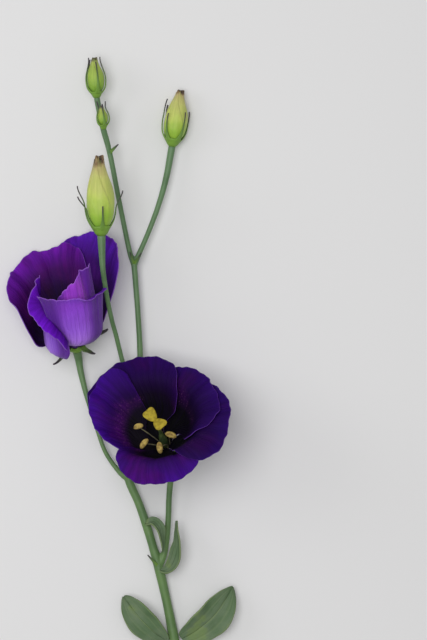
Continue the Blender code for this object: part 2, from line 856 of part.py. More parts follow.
FLAT_SIDE = math.cos(math.pi / STEM_SIDES)  # a flat side's distance from the axis, over the radius
BRANCHES = (
    Branch(
        "main",
        (
            (0.0, -0.5, STEM_RADIUS * FLAT_SIDE),
            (-0.5, 7.0, STEM_RADIUS * FLAT_SIDE),
            (-1.7, 15.0, 2.9),
            (-5.4, 34.0, 3.3),
            (-9.9, 53.6, 4.0),
            (-13.4, 65.9, 4.4),
            (-16.6, 76.6, 4.8),
            (-20.6, 88.0, 5.2),
            (-26.0, 100.8, 5.6),
            (-25.6, 109.0, 5.8),
            (-22.8, 123.0, 6.0),
            (-20.6, 136.0, 6.2),
            (-19.8, 165.0, 6.4),
            (-21.0, 190.0, 6.6),
            (-23.0, 216.0, 7.0),
        ),
        (2.75, 2.75, 3.2, 2.7, 3.1, 2.7, 2.85, 2.6, 2.7, 2.1, 2.0, 2.0, 1.7, 1.6, 1.7),
    ),
    Branch(
        "to_front_bloom",
        (
            (-9.9, 53.6, 4.0),
            (-6.6, 62.0, 4.8),
            (-4.9, 76.0, 6.0),
            (-4.2, 92.0, 7.6),
            (-3.0, 105.0, 9.4),
            (-3.0, 112.0, 12.8),
            (-4.6, 117.3, 19.0),
        ),
        (2.2, 1.7, 1.6, 1.6, 1.8, 2.1, 2.7),
    ),
    Branch(
        "to_side_bloom",
        (
            (-26.0, 100.8, 5.6),
            (-31.6, 105.6, 6.0),
            (-38.6, 115.8, 6.4),
            (-43.6, 130.2, 6.6),
            (-48.2, 144.6, 6.2),
            (-51.4, 157.0, 5.6),
            (-52.8, 165.0, 6.0),
            (-53.6, 170.0, 8.95),
        ),
        (2.0, 1.35, 1.2, 1.25, 1.4, 1.7, 2.0, 2.6),
    ),
    Branch(
        "to_tall_bud",
        (
            (-20.6, 136.0, 6.2),
            (-24.6, 151.0, 6.8),
            (-28.4, 161.5, 8.2),
            (-30.6, 170.0, 10.5),
            (-32.4, 178.0, 14.5),
            (-34.4, 186.0, 20.5),
            (-36.1, 195.0, 27.0),
            (-37.6, 205.0, 33.0),
            (-38.8, 215.0, 36.4),
            (-39.4, 231.0, 37.0),
        ),
        (1.8, 1.4, 1.35, 1.3, 1.3, 1.3, 1.3, 1.3, 1.5, 2.3),
    ),
    Branch(
        "to_top_bud",
        (
            (-23.0, 216.0, 7.0),
            (-25.4, 223.0, 7.8),
            (-28.4, 237.4, 9.2),
            (-31.6, 253.5, 10.4),
            (-36.0, 276.0, 11.2),
            (-39.8, 289.6, 11.6),
            (-42.9, 305.6, 12.0),
        ),
        (1.7, 1.4, 1.4, 1.4, 1.5, 1.45, 1.7),
    ),
    Branch(
        "to_small_bud",
        ((-35.8, 275.2, 11.2), (-36.6, 281.0, 14.2), (-38.9, 288.4, 17.5)),
        (1.2, 1.0, 1.4),
    ),
    Branch(
        "to_resting_bud",
        (
            (-23.0, 216.0, 7.0),
            (-20.2, 222.4, 7.1),
            (-15.2, 234.0, 7.0),
            (-10.0, 248.0, 6.6),
            (-5.8, 263.0, 6.1),
            (-2.7, 279.8, 5.9),
        ),
        (1.7, 1.4, 1.4, 1.5, 1.7, 2.0),
    ),
)
BRACTS = (
    # root, tip, half width at the root
    ((-9.9, 54.0, 5.6), (-15.8, 60.4, 7.4), 1.1),
    ((-35.9, 276.0, 11.8), (-31.2, 280.4, 15.0), 0.9),
    ((-26.0, 101.4, 7.0), (-29.6, 108.8, 11.6), 1.1),
    ((-23.0, 216.6, 8.0), (-25.2, 223.0, 12.6), 1.0),
    ((-23.0, 216.6, 8.0), (-19.0, 222.4, 12.0), 1.0),
    ((-20.6, 137.0, 7.0), (-16.2, 143.4, 9.2), 1.0),
)
RING_STEP = 7.0


def make_branch(branch):
    """One stretch of stem as a tube."""
    route = smooth_route(branch.knots, RING_STEP)
    knots = np.array(branch.knots)
    places = [int(np.argmin(np.linalg.norm(knots - point[:], axis=1))) for point in route]
    reach = []
    for point, place in zip(route, places):
        near = min(max(place, 1), len(knots) - 2)
        gaps = np.linalg.norm(knots[near - 1 : near + 2] - point[:], axis=1)
        weights = 1.0 / (gaps + 0.01) ** 2
        reach.append(float(np.dot(weights, branch.radii[near - 1 : near + 2]) / weights.sum()))
    return sweep(route, reach, STEM_SIDES, branch.name, turn=180.0 / STEM_SIDES)


def make_bract(root, tip, half_width):
    """A small scale leaf at a joint: a four-sided spike, flattened."""
    route = [Vector(root), Vector(root).lerp(Vector(tip), 0.5), Vector(tip)]
    route[1] = route[1] + Vector((0.0, 0.0, 0.6))
    return sweep(route, [half_width, half_width * 0.8, 0.3], 5, "bract")


def make_stem():
    """The whole green stem with its side branches, stalks and bracts, as one body."""
    pieces = [make_branch(branch) for branch in BRANCHES]
    pieces += [make_bract(*bract) for bract in BRACTS]
    return finish(press_flat(union("stem", pieces)), "green")


def stand_at_origin():
    """Shifts everything so that the middle of the underside of its bounding box is the origin."""
    corners = np.array([vert.co[:] for obj in bpy.data.objects for vert in obj.data.vertices])
    low = corners.min(0)
    high = corners.max(0)
    shift = Matrix.Translation((-(low[0] + high[0]) / 2, -(low[1] + high[1]) / 2, -low[2]))
    for obj in bpy.data.objects:
        obj.data.transform(shift)


def main():
    """Clears the scene and builds every piece."""
    for obj in list(bpy.data.objects):
        bpy.data.objects.remove(obj)
    make_stem()
    for bloom in (FRONT_BLOOM, SIDE_BLOOM):
        make_calyx(bloom)
        make_corolla(bloom)
        make_stamens(bloom)
        make_pistil(bloom)
    for bud in BUDS:
        make_bud_calyx(bud)
        make_bud(bud)
    for leaf in LEAVES:
        make_leaf(leaf)
    stand_at_origin()


if __name__ == "__main__":
    main()
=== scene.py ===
"""Dresses a cut stem of lisianthus: two open blooms, four buds, leaves and the forking green stem.

Lengths are in millimetres in the plant's own space, where the cut end is near the origin, the stem runs
along +Y and the surface that it lies on is z = 0. A piece goes into the part's frame, in metres, when it is
placed. Angles are in degrees unless a name says otherwise.
"""

import logging
import math
from dataclasses import dataclass
from enum import Enum
from functools import partial
from typing import Callable, Iterable, Sequence

import bmesh
import bpy
import numpy as np
from mathutils import Matrix, Vector


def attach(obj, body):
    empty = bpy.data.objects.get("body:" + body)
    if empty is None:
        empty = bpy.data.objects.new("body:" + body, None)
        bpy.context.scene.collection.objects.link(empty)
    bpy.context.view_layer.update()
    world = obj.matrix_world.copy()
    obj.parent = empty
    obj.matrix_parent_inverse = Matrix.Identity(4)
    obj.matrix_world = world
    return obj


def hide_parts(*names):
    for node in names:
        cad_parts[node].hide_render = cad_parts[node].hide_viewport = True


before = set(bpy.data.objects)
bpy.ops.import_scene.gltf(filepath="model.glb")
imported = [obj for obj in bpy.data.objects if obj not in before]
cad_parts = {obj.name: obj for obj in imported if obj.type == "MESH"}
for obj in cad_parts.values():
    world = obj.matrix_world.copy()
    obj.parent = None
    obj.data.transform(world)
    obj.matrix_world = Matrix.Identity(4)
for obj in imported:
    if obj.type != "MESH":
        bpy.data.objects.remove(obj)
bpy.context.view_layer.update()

LOG = logging.getLogger("lisianthus")

MM = 0.001
PLANT_ORIGIN = Vector((29.417, -163.875, 0.0))  # where the plant's own origin lies in the part's frame
SEAT_GAP = 0.35  # from a piece to the one that it sits in
PETALS = 5
BLADE_MAP = "blade"  # u: across a blade plus its number, v: along it
BLADE_INSET = 0.02  # by which u keeps clear of the whole numbers

Place = tuple[float, float, float]
Colour = tuple[float, float, float]
Span = tuple[float, float]
Array = np.ndarray
Formula = Callable[[Array, Array], Array]
Mesh = bmesh.types.BMesh
Vert = bmesh.types.BMVert
Verts = list[Vert]
Object = bpy.types.Object
Socket = bpy.types.NodeSocket


class Slot(Enum):
    """The material slots that the part names."""

    GREEN = "green"
    PETAL = "petal"
    ANTHER = "anther"
    PISTIL = "pistil"
    BUD = "bud"
    LEAF = "leaf"


# ---------------------------------------------------------------- curves and numbers


def blend(low: float, high: float, x: Array | float) -> Array:
    """0 below low, 1 above high, and a smooth step between."""
    t = np.clip((x - low) / (high - low), 0.0, 1.0)
    return t * t * (3.0 - 2.0 * t)


def around(values: Sequence[float], azimuth: Array, first: float) -> Array:
    """Blends values given at even directions smoothly round an axis.

    Args:
        values: one number for each direction.
        azimuth: where to read them, in radians.
        first: the direction of the first value.

    Returns:
        The blended numbers, exact at the given directions.
    """
    total = np.zeros_like(azimuth)
    for index, value in enumerate(values):
        turn = azimuth - math.radians(first) - index * math.tau / len(values)
        total = total + value * (1 + 2 * np.cos(turn) + 2 * np.cos(2 * turn)) / len(values)
    return total


def waves(x: Array, beats: Iterable[tuple[float, float, float]]) -> Array:
    """Adds up sine waves, each given as its height, its beats per radian and its start."""
    return sum(height * np.sin(beat * x + start) for height, beat, start in beats)


def polar(azimuth: float) -> Vector:
    """A unit vector in the plane z = 0, from an angle in radians."""
    return Vector((math.cos(azimuth), math.sin(azimuth), 0.0))


def round_axis(radius: Array, azimuth: Array, height: Array) -> Array:
    """Points from their distance from the axis z, their direction in radians and their height."""
    return np.stack([radius * np.cos(azimuth), radius * np.sin(azimuth), height], -1)


def over_line(spine: Array, ahead: Array, face: Array, aside: Array, rise: Array) -> Array:
    """Points of a blade, placed from its middle line.

    Args:
        spine: the point of the middle line that each belongs to.
        ahead: the way that the line runs there, of any length.
        face: the way that the blade's upper face looks.
        aside: how far each point is from the line.
        rise: how far it stands above it.

    Returns:
        An array of points.
    """
    ahead = ahead / np.linalg.norm(ahead, axis=-1, keepdims=True)
    side = np.cross(ahead, face)
    side = side / np.linalg.norm(side, axis=-1, keepdims=True)
    return spine + side * aside[:, None] + np.cross(side, ahead) * rise[:, None]


def raised(outline: Iterable[Span], height: float) -> list[Span]:
    """An outline of (radius, height) points, moved up."""
    return [(radius, height + up) for radius, up in outline]


def upright_to(seat: Place, axis: Place) -> Matrix:
    """Places a flower made upright at the origin: its z on the axis, its x as near +X as it can be.

    Args:
        seat: where the flower's foot goes.
        axis: the way that it faces.

    Returns:
        The matrix.
    """
    up = Vector(axis).normalized()
    side = (Vector((1.0, 0.0, 0.0)) - up * up.x).normalized()
    turn = Matrix((side, up.cross(side), up)).transposed()
    return Matrix.Translation(Vector(seat)) @ turn.to_4x4()


def smooth_route(knots: Sequence[Place], step: float) -> list[Vector]:
    """Follows a Catmull-Rom curve through some knots.

    Args:
        knots: the points that it runs through.
        step: about how far apart its points are.

    Returns:
        Points on it, from the first knot to the last.
    """
    points = [Vector(knot) for knot in knots]
    padded = [points[0] * 2 - points[1], *points, points[-1] * 2 - points[-2]]
    route = [points[0]]
    for a, b, c, d in zip(padded, padded[1:], padded[2:], padded[3:]):
        pieces = max(1, round((c - b).length / step))
        for piece in range(1, pieces + 1):
            t = piece / pieces
            bend = 0.5 * (2 * b + (c - a) * t + (2 * a - 5 * b + 4 * c - d) * t**2)
            route.append(bend + 0.5 * (3 * b - a - 3 * c + d) * t**3)
    return route


def route_stands(route: Sequence[Vector]) -> list[Matrix]:
    """Stands a set of axes at each point of a route.

    Args:
        route: the points.

    Returns:
        A matrix for each: z along the route, y as near up as it can be.
    """
    stands = []
    up = Vector((0.0, 0.0, 1.0))
    for index, point in enumerate(route):
        ahead = route[min(index + 1, len(route) - 1)] - route[max(index - 1, 0)]
        ahead.normalize()
        side = up.cross(ahead).normalized()
        up = ahead.cross(side).normalized()
        turn = Matrix((side, up, ahead)).transposed().to_4x4()
        stands.append(Matrix.Translation(point) @ turn)
    return stands


# ---------------------------------------------------------------- meshes


def faces_of(verts: Iterable[Vert]) -> list[bmesh.types.BMFace]:
    """The faces that some vertices are corners of."""
    return list({face for vert in verts for face in vert.link_faces})


def added_to(mesh: Mesh, before: set[Vert]) -> Verts:
    """The vertices that a bmesh has beyond those it had before."""
    return [vert for vert in mesh.verts if vert not in before]


def move(mesh: Mesh, matrix: Matrix, verts: Iterable[Vert] | None = None) -> None:
    """Moves some vertices of a bmesh, or all of them."""
    bmesh.ops.transform(mesh, matrix=matrix, verts=mesh.verts if verts is None else verts)


def number_faces(verts: Verts, number: int) -> None:
    """Gives the faces of some vertices a material slot by its number."""
    for face in faces_of(verts):
        face.material_index = number


def press_flat(mesh: Mesh, height: float = 0.0) -> None:
    """Lets what would reach below the surface lie flat on it."""
    for vert in mesh.verts:
        vert.co.z = max(vert.co.z, height)


def add_blade(mesh: Mesh, formula: Formula, rows: int, columns: int, number: int = 0) -> Verts:
    """Adds a thin sheet: a grid whose points a formula places.

    Args:
        mesh: the bmesh that gets the grid.
        formula: gives points from (along, across): along runs 0 to 1, across -1 to 1.
        rows: how many steps run along the blade.
        columns: how many steps run across it.
        number: the blade's number, kept with its place in the blade map.

    Returns:
        The new vertices.
    """
    layer = mesh.loops.layers.uv.get(BLADE_MAP) or mesh.loops.layers.uv.new(BLADE_MAP)
    verts = bmesh.ops.create_grid(mesh, x_segments=columns, y_segments=rows, size=1.0)["verts"]
    for face in faces_of(verts):
        for loop in face.loops:
            across, up = loop.vert.co.x, loop.vert.co.y
            u = number + BLADE_INSET + (0.5 - BLADE_INSET) * (across + 1.0)
            loop[layer].uv = (u, (up + 1.0) / 2.0)
    flat = np.array([vert.co[:] for vert in verts])
    for vert, point in zip(verts, formula((flat[:, 1] + 1.0) / 2.0, flat[:, 0])):
        vert.co = Vector(point)
    return verts


def add_blades(mesh: Mesh, formulas: Sequence[Formula], rows: int, columns: int) -> None:
    """Adds a blade for each formula, numbered in their order."""
    for number, formula in enumerate(formulas):
        add_blade(mesh, formula, rows, columns, number)


def add_turned(mesh: Mesh, profile: Sequence[Span], sides: int) -> Verts:
    """Adds a shape turned round z from its half outline.

    Args:
        mesh: the bmesh that gets the shape.
        profile: the outline as (radius, height) points, from bottom to top.
        sides: how many steps the turn takes.

    Returns:
        The new vertices.
    """
    before = set(mesh.verts)
    corners = [mesh.verts.new((radius, 0.0, height)) for radius, height in profile]
    edges = [mesh.edges.new(pair) for pair in zip(corners, corners[1:])]
    bmesh.ops.spin(
        mesh, geom=[*corners, *edges], cent=(0.0, 0.0, 0.0), axis=(0.0, 0.0, 1.0),
        angle=math.tau, steps=sides, use_merge=True,
    )
    bmesh.ops.remove_doubles(mesh, verts=added_to(mesh, before), dist=0.0005)
    made = added_to(mesh, before)
    bmesh.ops.recalc_face_normals(mesh, faces=faces_of(made))
    return made


def add_tube(mesh: Mesh, route: Sequence[Vector], radii: Sequence[float], sides: int) -> Verts:
    """Adds a closed tube: one flat cap pushed on along a route.

    Args:
        mesh: the bmesh that gets the tube.
        route: the points of its middle line.
        radii: its radius at each point.
        sides: how many sides it has.

    Returns:
        The new vertices.
    """
    before = set(mesh.verts)
    placed = [stand @ Matrix.Scale(radius, 4) for stand, radius in zip(route_stands(route), radii)]
    ring = bmesh.ops.create_circle(mesh, cap_ends=True, segments=sides, radius=1.0)["verts"]
    move(mesh, placed[0], ring)
    cap = ring[0].link_faces[0]
    for last, following in zip(placed, placed[1:]):
        pushed = bmesh.ops.extrude_face_region(mesh, geom=[cap, *cap.edges, *cap.verts])["geom"]
        cap = next(item for item in pushed if isinstance(item, bmesh.types.BMFace))
        move(mesh, following @ last.inverted(), cap.verts)
    made = added_to(mesh, before)
    bmesh.ops.recalc_face_normals(mesh, faces=faces_of(made))
    return made


def add_object(name: str, data: bpy.types.ID) -> Object:
    """Makes an object of some data and puts it in the scene."""
    obj = bpy.data.objects.new(name, data)
    bpy.context.scene.collection.objects.link(obj)
    return obj


def add_mesh_object(name: str, mesh: Mesh) -> Object:
    """Makes an object of a bmesh, which is freed here."""
    data = bpy.data.meshes.new(name)
    mesh.to_mesh(data)
    mesh.free()
    return add_object(name, data)


def place_piece(mesh: Mesh, name: str, node: str, slot: Slot, finishes: Sequence["Finish"]) -> Object:
    """Makes an object from a bmesh in the plant's space and lets it stand for a node of the part.

    Args:
        mesh: the shape in millimetres, freed here.
        name: the new object's name.
        node: the part's node that it replaces.
        slot: the material slot of that node; not used.
        finishes: its finishes, in the order of its faces' numbers.

    Returns:
        The object, smooth shaded, at the origin of the part's frame.
    """
    move(mesh, Matrix.Scale(MM, 4) @ Matrix.Translation(PLANT_ORIGIN))
    obj = add_mesh_object(name, mesh)
    obj.data.shade_smooth()
    for finish in finishes:
        obj.data.materials.append(bpy.data.materials.get(finish.name) or finish.make())
    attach(obj, "root")
    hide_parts(node)
    LOG.info("%s: %d faces", name, len(obj.data.polygons))
    return obj


def thicken(obj: Object, thickness: float, back: int = 0) -> None:
    """Gives a piece made of thin sheets its thickness.

    Args:
        obj: the piece, whose faces look away from the axis.
        thickness: in millimetres, shared by both sides.
        back: how many material slots further the inner faces' material is.
    """
    wall = obj.modifiers.new("thickness", "SOLIDIFY")
    wall.thickness = thickness * MM
    wall.offset = 0.0
    wall.material_offset = back


# ---------------------------------------------------------------- material nodes


class Graph:
    """A shader node tree with short ways to add and join nodes."""

    def __init__(self, tree: bpy.types.NodeTree) -> None:
        """Keeps the tree that the nodes go into."""
        self.tree = tree

    def put(self, kind: str, **settings: object) -> bpy.types.Node:
        """Adds a node.

        Args:
            kind: its type.
            **settings: its properties by name.

        Returns:
            The node.
        """
        node = self.tree.nodes.new(kind)
        for name, value in settings.items():
            setattr(node, name, value)
        return node

    def feed(self, socket: Socket, value: object) -> None:
        """Joins an output to an input, or sets the input's own value.

        Args:
            socket: the input.
            value: an output, or what the input is to hold. A colour is given without its alpha.
        """
        if isinstance(value, Socket):
            self.tree.links.new(value, socket)
        elif socket.type == "RGBA":
            socket.default_value = (*value, 1.0)
        else:
            socket.default_value = value

    def feed_all(self, sockets: Iterable[Socket], values: Iterable[object]) -> None:
        """Feeds inputs in their order."""
        for socket, value in zip(sockets, values):
            self.feed(socket, value)

    def math(self, operation: str, first: object, second: object = 0.0) -> Socket:
        """Adds a Math node.

        Args:
            operation: what it does.
            first: its first value.
            second: its second value.

        Returns:
            Its result.
        """
        node = self.put("ShaderNodeMath", operation=operation)
        self.feed_all(node.inputs, (first, second))
        return node.outputs[0]

    def times(self, first: object, second: object) -> Socket:
        """The product of two values."""
        return self.math("MULTIPLY", first, second)

    def plus(self, first: object, second: object) -> Socket:
        """The sum of two values."""
        return self.math("ADD", first, second)

    def off_middle(self, across: object) -> Socket:
        """How far a place is from a blade's middle line, up to 0.5."""
        return self.math("ABSOLUTE", self.math("SUBTRACT", across, 0.5))

    def ramp(self, factor: object, stops: Sequence[tuple[float, Colour]]) -> Socket:
        """Adds a colour ramp.

        Args:
            factor: where it is read.
            stops: its positions and colours.

        Returns:
            The colour there.
        """
        node = self.put("ShaderNodeValToRGB")
        elements = node.color_ramp.elements
        while len(elements) < len(stops):
            elements.new(0.5)
        for element, (position, colour) in zip(elements, stops):
            element.position = position
            element.color = (*colour, 1.0)
        self.feed(node.inputs[0], factor)
        return node.outputs[0]

    def mix(self, factor: object, first: object, second: object, way: str = "MIX") -> Socket:
        """Mixes two colours.

        Args:
            factor: how much of the second there is.
            first: the first colour.
            second: the second colour.
            way: how they are mixed.

        Returns:
            The mixed colour.
        """
        node = self.put("ShaderNodeMix", data_type="RGBA", blend_type=way)
        self.feed(node.inputs["Factor"], factor)
        self.feed_all(node.inputs[6:8], (first, second))
        return node.outputs[2]

    def span(self, value: object, low: float, high: float, to: Span = (0.0, 1.0)) -> Socket:
        """Maps one range smoothly to another and clamps what is beyond.

        Args:
            value: what is mapped.
            low: where it gives the first value of to.
            high: where it gives the second.
            to: the two values.

        Returns:
            The mapped value.
        """
        node = self.put("ShaderNodeMapRange", interpolation_type="SMOOTHSTEP")
        self.feed_all(node.inputs, (value, low, high, *to))
        return node.outputs[0]

    def noise(self, place: object, scale: object, detail: float) -> Socket:
        """Adds a Noise Texture.

        Args:
            place: where it is read.
            scale: how fine it is.
            detail: how many finer layers it has.

        Returns:
            Its value.
        """
        node = self.put("ShaderNodeTexNoise")
        self.feed(node.inputs["Vector"], place)
        self.feed(node.inputs["Scale"], scale)
        self.feed(node.inputs["Detail"], detail)
        return node.outputs["Fac"]

    def object_place(self) -> Socket:
        """The object's own coordinates, in metres."""
        return self.put("ShaderNodeTexCoord").outputs["Object"]

    def join(self, x: object, y: object, z: object) -> Socket:
        """Joins three values to a vector."""
        node = self.put("ShaderNodeCombineXYZ")
        self.feed_all(node.inputs, (x, y, z))
        return node.outputs[0]

    def split(self, vector: Socket) -> tuple[Socket, Socket, Socket]:
        """Splits a vector into its three values."""
        node = self.put("ShaderNodeSeparateXYZ")
        self.feed(node.inputs[0], vector)
        return tuple(node.outputs)

    def blade_place(self) -> tuple[Socket, Socket, Socket]:
        """The place on a blade.

        Returns:
            across from 0 to 1, along from 0 to 1, and the blade's number.
        """
        u, v, _ = self.split(self.put("ShaderNodeUVMap", uv_map=BLADE_MAP).outputs[0])
        number = self.math("FLOOR", u)
        return self.math("SUBTRACT", u, number), v, number

    def veins(self, count: float, wander: float) -> tuple[Socket, ...]:
        """Places the vein group on a blade.

        Args:
            count: how many main veins a blade has.
            wander: how far they stray.

        Returns:
            Its Lines and Streaks, the place along and across the blade, and the blade's number.
        """
        across, along, number = self.blade_place()
        node = self.put("ShaderNodeGroup", node_tree=shared_group("veins", make_vein_group))
        self.feed_all(node.inputs, (across, along, number, count, wander))
        return node.outputs["Lines"], node.outputs["Streaks"], along, across, number

    def skin(self, mottle: float, grain: float) -> tuple[Socket, Socket]:
        """Places the skin group.

        Args:
            mottle: how fine its slow patches are.
            grain: how fine its grain is.

        Returns:
            Its Mottle and Grain.
        """
        node = self.put("ShaderNodeGroup", node_tree=shared_group("skin", make_skin_group))
        self.feed_all(node.inputs, (mottle, grain))
        return node.outputs["Mottle"], node.outputs["Grain"]

    def frayed_ramp(
        self, along: Socket, mottle: Socket, fray: float, stops: Sequence[tuple[float, Colour]]
    ) -> Socket:
        """A ramp along a blade whose borders wander with its slow patches.

        Args:
            along: the place along the blade.
            mottle: the slow patches.
            fray: how far a border wanders.
            stops: the ramp's positions and colours.

        Returns:
            The colour.
        """
        return self.ramp(self.plus(along, self.span(mottle, 0.3, 0.7, (-fray, fray))), stops)


def node_group(
    name: str, inputs: Sequence[tuple[str, float]], outputs: Sequence[str]
) -> tuple[bpy.types.NodeTree, Graph, dict[str, Socket], bpy.types.Node]:
    """Starts a shader node group with named number sockets.

    Args:
        name: the group's name.
        inputs: each input's name and default.
        outputs: the outputs' names.

    Returns:
        The group, a Graph on it, its inputs as sockets by name, and its output node.
    """
    tree = bpy.data.node_groups.new(name, "ShaderNodeTree")
    for label, default in inputs:
        socket = tree.interface.new_socket(label, in_out="INPUT", socket_type="NodeSocketFloat")
        socket.default_value = default
    for label in outputs:
        tree.interface.new_socket(label, in_out="OUTPUT", socket_type="NodeSocketFloat")
    graph = Graph(tree)
    entry = graph.put("NodeGroupInput")
    return tree, graph, {label: entry.outputs[label] for label, _ in inputs}, graph.put("NodeGroupOutput")


def make_vein_group() -> bpy.types.NodeTree:
    """Fan veins: fine lines that spread from a blade's root, wander a little and branch towards the rim.

    Returns:
        A group with a Lines mask, 1 on a vein, and a slower Streaks mask.
    """
    inputs = [("Across", 0.5), ("Along", 0.5), ("Number", 0.0), ("Count", 26.0), ("Wander", 0.05)]
    tree, graph, entry, leave = node_group("veins", inputs, ["Lines", "Streaks"])
    drift = graph.noise(graph.join(entry["Across"], entry["Along"], entry["Number"]), 5.0, 2.0)
    drift = graph.times(graph.math("SUBTRACT", drift, 0.5), entry["Wander"])
    across = graph.plus(entry["Across"], drift)
    lines = []
    for share, start in ((1.0, 0.0), (2.0, 0.37)):  # the main veins, then twice as many between them
        turn = graph.times(graph.times(across, entry["Count"]), share)
        folded = graph.math("PINGPONG", graph.plus(turn, start), 0.5)
        lines.append(graph.span(folded, 0.0, 0.22, (1.0, 0.0)))
    fine = graph.times(lines[1], graph.span(entry["Along"], 0.45, 0.8, (0.0, 0.7)))
    graph.feed(leave.inputs["Lines"], graph.math("MAXIMUM", lines[0], fine))
    place = graph.join(graph.times(across, 14.0), graph.times(entry["Along"], 1.6), entry["Number"])
    graph.feed(leave.inputs["Streaks"], graph.span(graph.noise(place, 1.6, 4.0), 0.32, 0.68))
    return tree


def make_skin_group() -> bpy.types.NodeTree:
    """Living skin: slow colour change and a fine grain, in the object's own space.

    Returns:
        A group with a Mottle mask and a Grain height.
    """
    inputs = [("Mottle Scale", 60.0), ("Grain Scale", 2200.0)]
    tree, graph, entry, leave = node_group("skin", inputs, ["Mottle", "Grain"])
    place = graph.object_place()
    for label, detail in (("Mottle", 3.0), ("Grain", 1.0)):
        graph.feed(leave.inputs[label], graph.noise(place, entry[f"{label} Scale"], detail))
    return tree


def new_material(name: str) -> tuple[bpy.types.Material, Graph, bpy.types.Node]:
    """A new material, a Graph on its nodes and its shader."""
    material = bpy.data.materials.new(name)
    material.use_nodes = True
    return material, Graph(material.node_tree), material.node_tree.nodes["Principled BSDF"]


def shared_group(name: str, maker: Callable[[], bpy.types.NodeTree]) -> bpy.types.NodeTree:
    """A node group by name, made at its first use."""
    return bpy.data.node_groups.get(name) or maker()


# ---------------------------------------------------------------- finishes


@dataclass(frozen=True)
class Finish:
    """What every finish of the plant shares."""

    name: str
    roughness: float = 0.55
    sheen: float = 0.0
    sheen_tint: Colour = (1.0, 1.0, 1.0)
    specular: float = 0.3
    relief: float = 0.0001  # depth of its fine relief, in metres
    mottle_scale: float = 45.0
    grain_scale: float = 1500.0

    def make(self) -> bpy.types.Material:
        """Builds the material.

        Returns:
            The material, which has the finish's name.
        """
        material, graph, shader = new_material(self.name)
        colour, height = self.paint(graph, *graph.skin(self.mottle_scale, self.grain_scale))
        bump = graph.put("ShaderNodeBump")
        graph.feed(bump.inputs["Distance"], self.relief)
        graph.feed(bump.inputs["Height"], height)
        values = {
            "Base Color": colour,
            "Normal": bump.outputs[0],
            "Roughness": self.roughness,
            "Sheen Weight": self.sheen,
            "Sheen Roughness": 0.45,
            "Sheen Tint": self.sheen_tint,
            "Specular IOR Level": self.specular,
        }
        for label, value in values.items():
            graph.feed(shader.inputs[label], value)
        return material

    def paint(self, graph: Graph, mottle: Socket, grain: Socket) -> tuple[Socket, Socket]:
        """Lays the nodes of the colour and the relief, which each kind of finish has its own way for.

        Args:
            graph: the material's graph.
            mottle: a mask of slow patches.
            grain: the height of a fine grain.

        Returns:
            The colour and the relief's height.
        """
        raise NotImplementedError


@dataclass(frozen=True)
class PetalFinish(Finish):
    """A petal's face: a root-to-rim ramp in its tint, with painted shade on its sides, veins and patches."""

    relief: float = 0.00025
    mottle_scale: float = 55.0
    grain_scale: float = 1800.0
    stops: tuple[tuple[float, Colour], ...] = ()
    patch: Colour = (0.1, 0.0, 0.1)
    patch_share: float = 0.5
    tints: tuple[Colour, ...] = ((1.0, 1.0, 1.0),) * PETALS  # by which each petal's colour is multiplied
    # the colour of the painted shade that darkens a petal's sides where they curve away from the light
    shade: Colour = (0.03, 0.005, 0.08)
    painted_shade_share: float = 0.0  # how much painted shade the petal's sides have
    painted_shade_span: Span = (0.16, 0.48)  # where the painted shade starts and is full, from the petal's middle line
    vein: Colour = (0.0, 0.0, 0.0)
    vein_share: float = 0.4
    vein_count: float = 17.0
    streak_share: float = 0.4
    edge: Colour = (0.3, 0.2, 0.5)
    speck: Colour = (0.3, 0.1, 0.2)
    speck_share: float = 0.0

    def paint(self, graph: Graph, mottle: Socket, grain: Socket) -> tuple[Socket, Socket]:
        """Lays the ramp, patches, tint, painted shade on the sides, specks, veins and a pale edge.

        Args:
            graph: the material's graph.
            mottle: a mask of slow patches.
            grain: the height of a fine grain.

        Returns:
            The colour and the relief's height.
        """
        lines, streaks, along, across, number = graph.veins(self.vein_count, 0.06)
        outer = graph.span(along, 0.40, 0.62)
        patches = graph.span(mottle, 0.45, 0.68, (0.0, self.patch_share))
        colour = graph.mix(graph.times(patches, outer), graph.ramp(along, self.stops), self.patch)
        places = [((index + 0.5) / PETALS, tint) for index, tint in enumerate(self.tints)]
        tint = graph.ramp(graph.math("DIVIDE", graph.plus(number, 0.5), float(PETALS)), places)
        colour = graph.mix(1.0, colour, tint, "MULTIPLY")
        side = graph.off_middle(across)
        # painted shade: the colour darkens towards the petal's sides, where they curve away from the light
        shaded = graph.span(side, *self.painted_shade_span, (0.0, self.painted_shade_share))
        colour = graph.mix(shaded, colour, self.shade)
        if self.speck_share:
            colour = graph.mix(self.specks(graph, along, mottle), colour, self.speck)
        colour = graph.mix(graph.times(streaks, self.streak_share), colour, self.vein)
        colour = graph.mix(graph.times(lines, self.vein_share), colour, self.vein)
        edge = graph.math("MAXIMUM", graph.span(side, 0.47, 0.48), graph.span(along, 0.985, 1.0))
        edge = graph.times(edge, graph.span(along, 0.3, 0.6, (0.0, 0.5)))
        height = graph.plus(graph.times(lines, 0.5), graph.times(grain, 0.35))
        return graph.mix(edge, colour, self.edge), graph.plus(height, graph.times(streaks, 0.6))

    def specks(self, graph: Graph, along: Socket, mottle: Socket) -> Socket:
        """Scatters tiny light dots in patches on the middle of a petal.

        Args:
            graph: the material's graph.
            along: the place along the petal.
            mottle: a mask of slow patches.

        Returns:
            A mask of the dots.
        """
        fine = graph.noise(graph.object_place(), 1500.0, 1.0)
        dots = graph.span(fine, 0.60, 0.70, (0.0, self.speck_share))
        near = graph.span(along, 0.44, 0.54)
        far = graph.span(along, 0.62, 0.80, (1.0, 0.0))
        patches = graph.span(mottle, 0.48, 0.58)
        return graph.times(graph.times(dots, patches), graph.times(near, far))


@dataclass(frozen=True)
class MottledFinish(Finish):
    """Small flower parts: two colours in slow patches and a fine grain."""

    light: Colour = (0.2, 0.4, 0.1)
    dark: Colour = (0.1, 0.2, 0.05)

    def paint(self, graph: Graph, mottle: Socket, grain: Socket) -> tuple[Socket, Socket]:
        """The dark colour with patches of the light one."""
        return graph.mix(graph.span(mottle, 0.35, 0.65), self.dark, self.light), grain


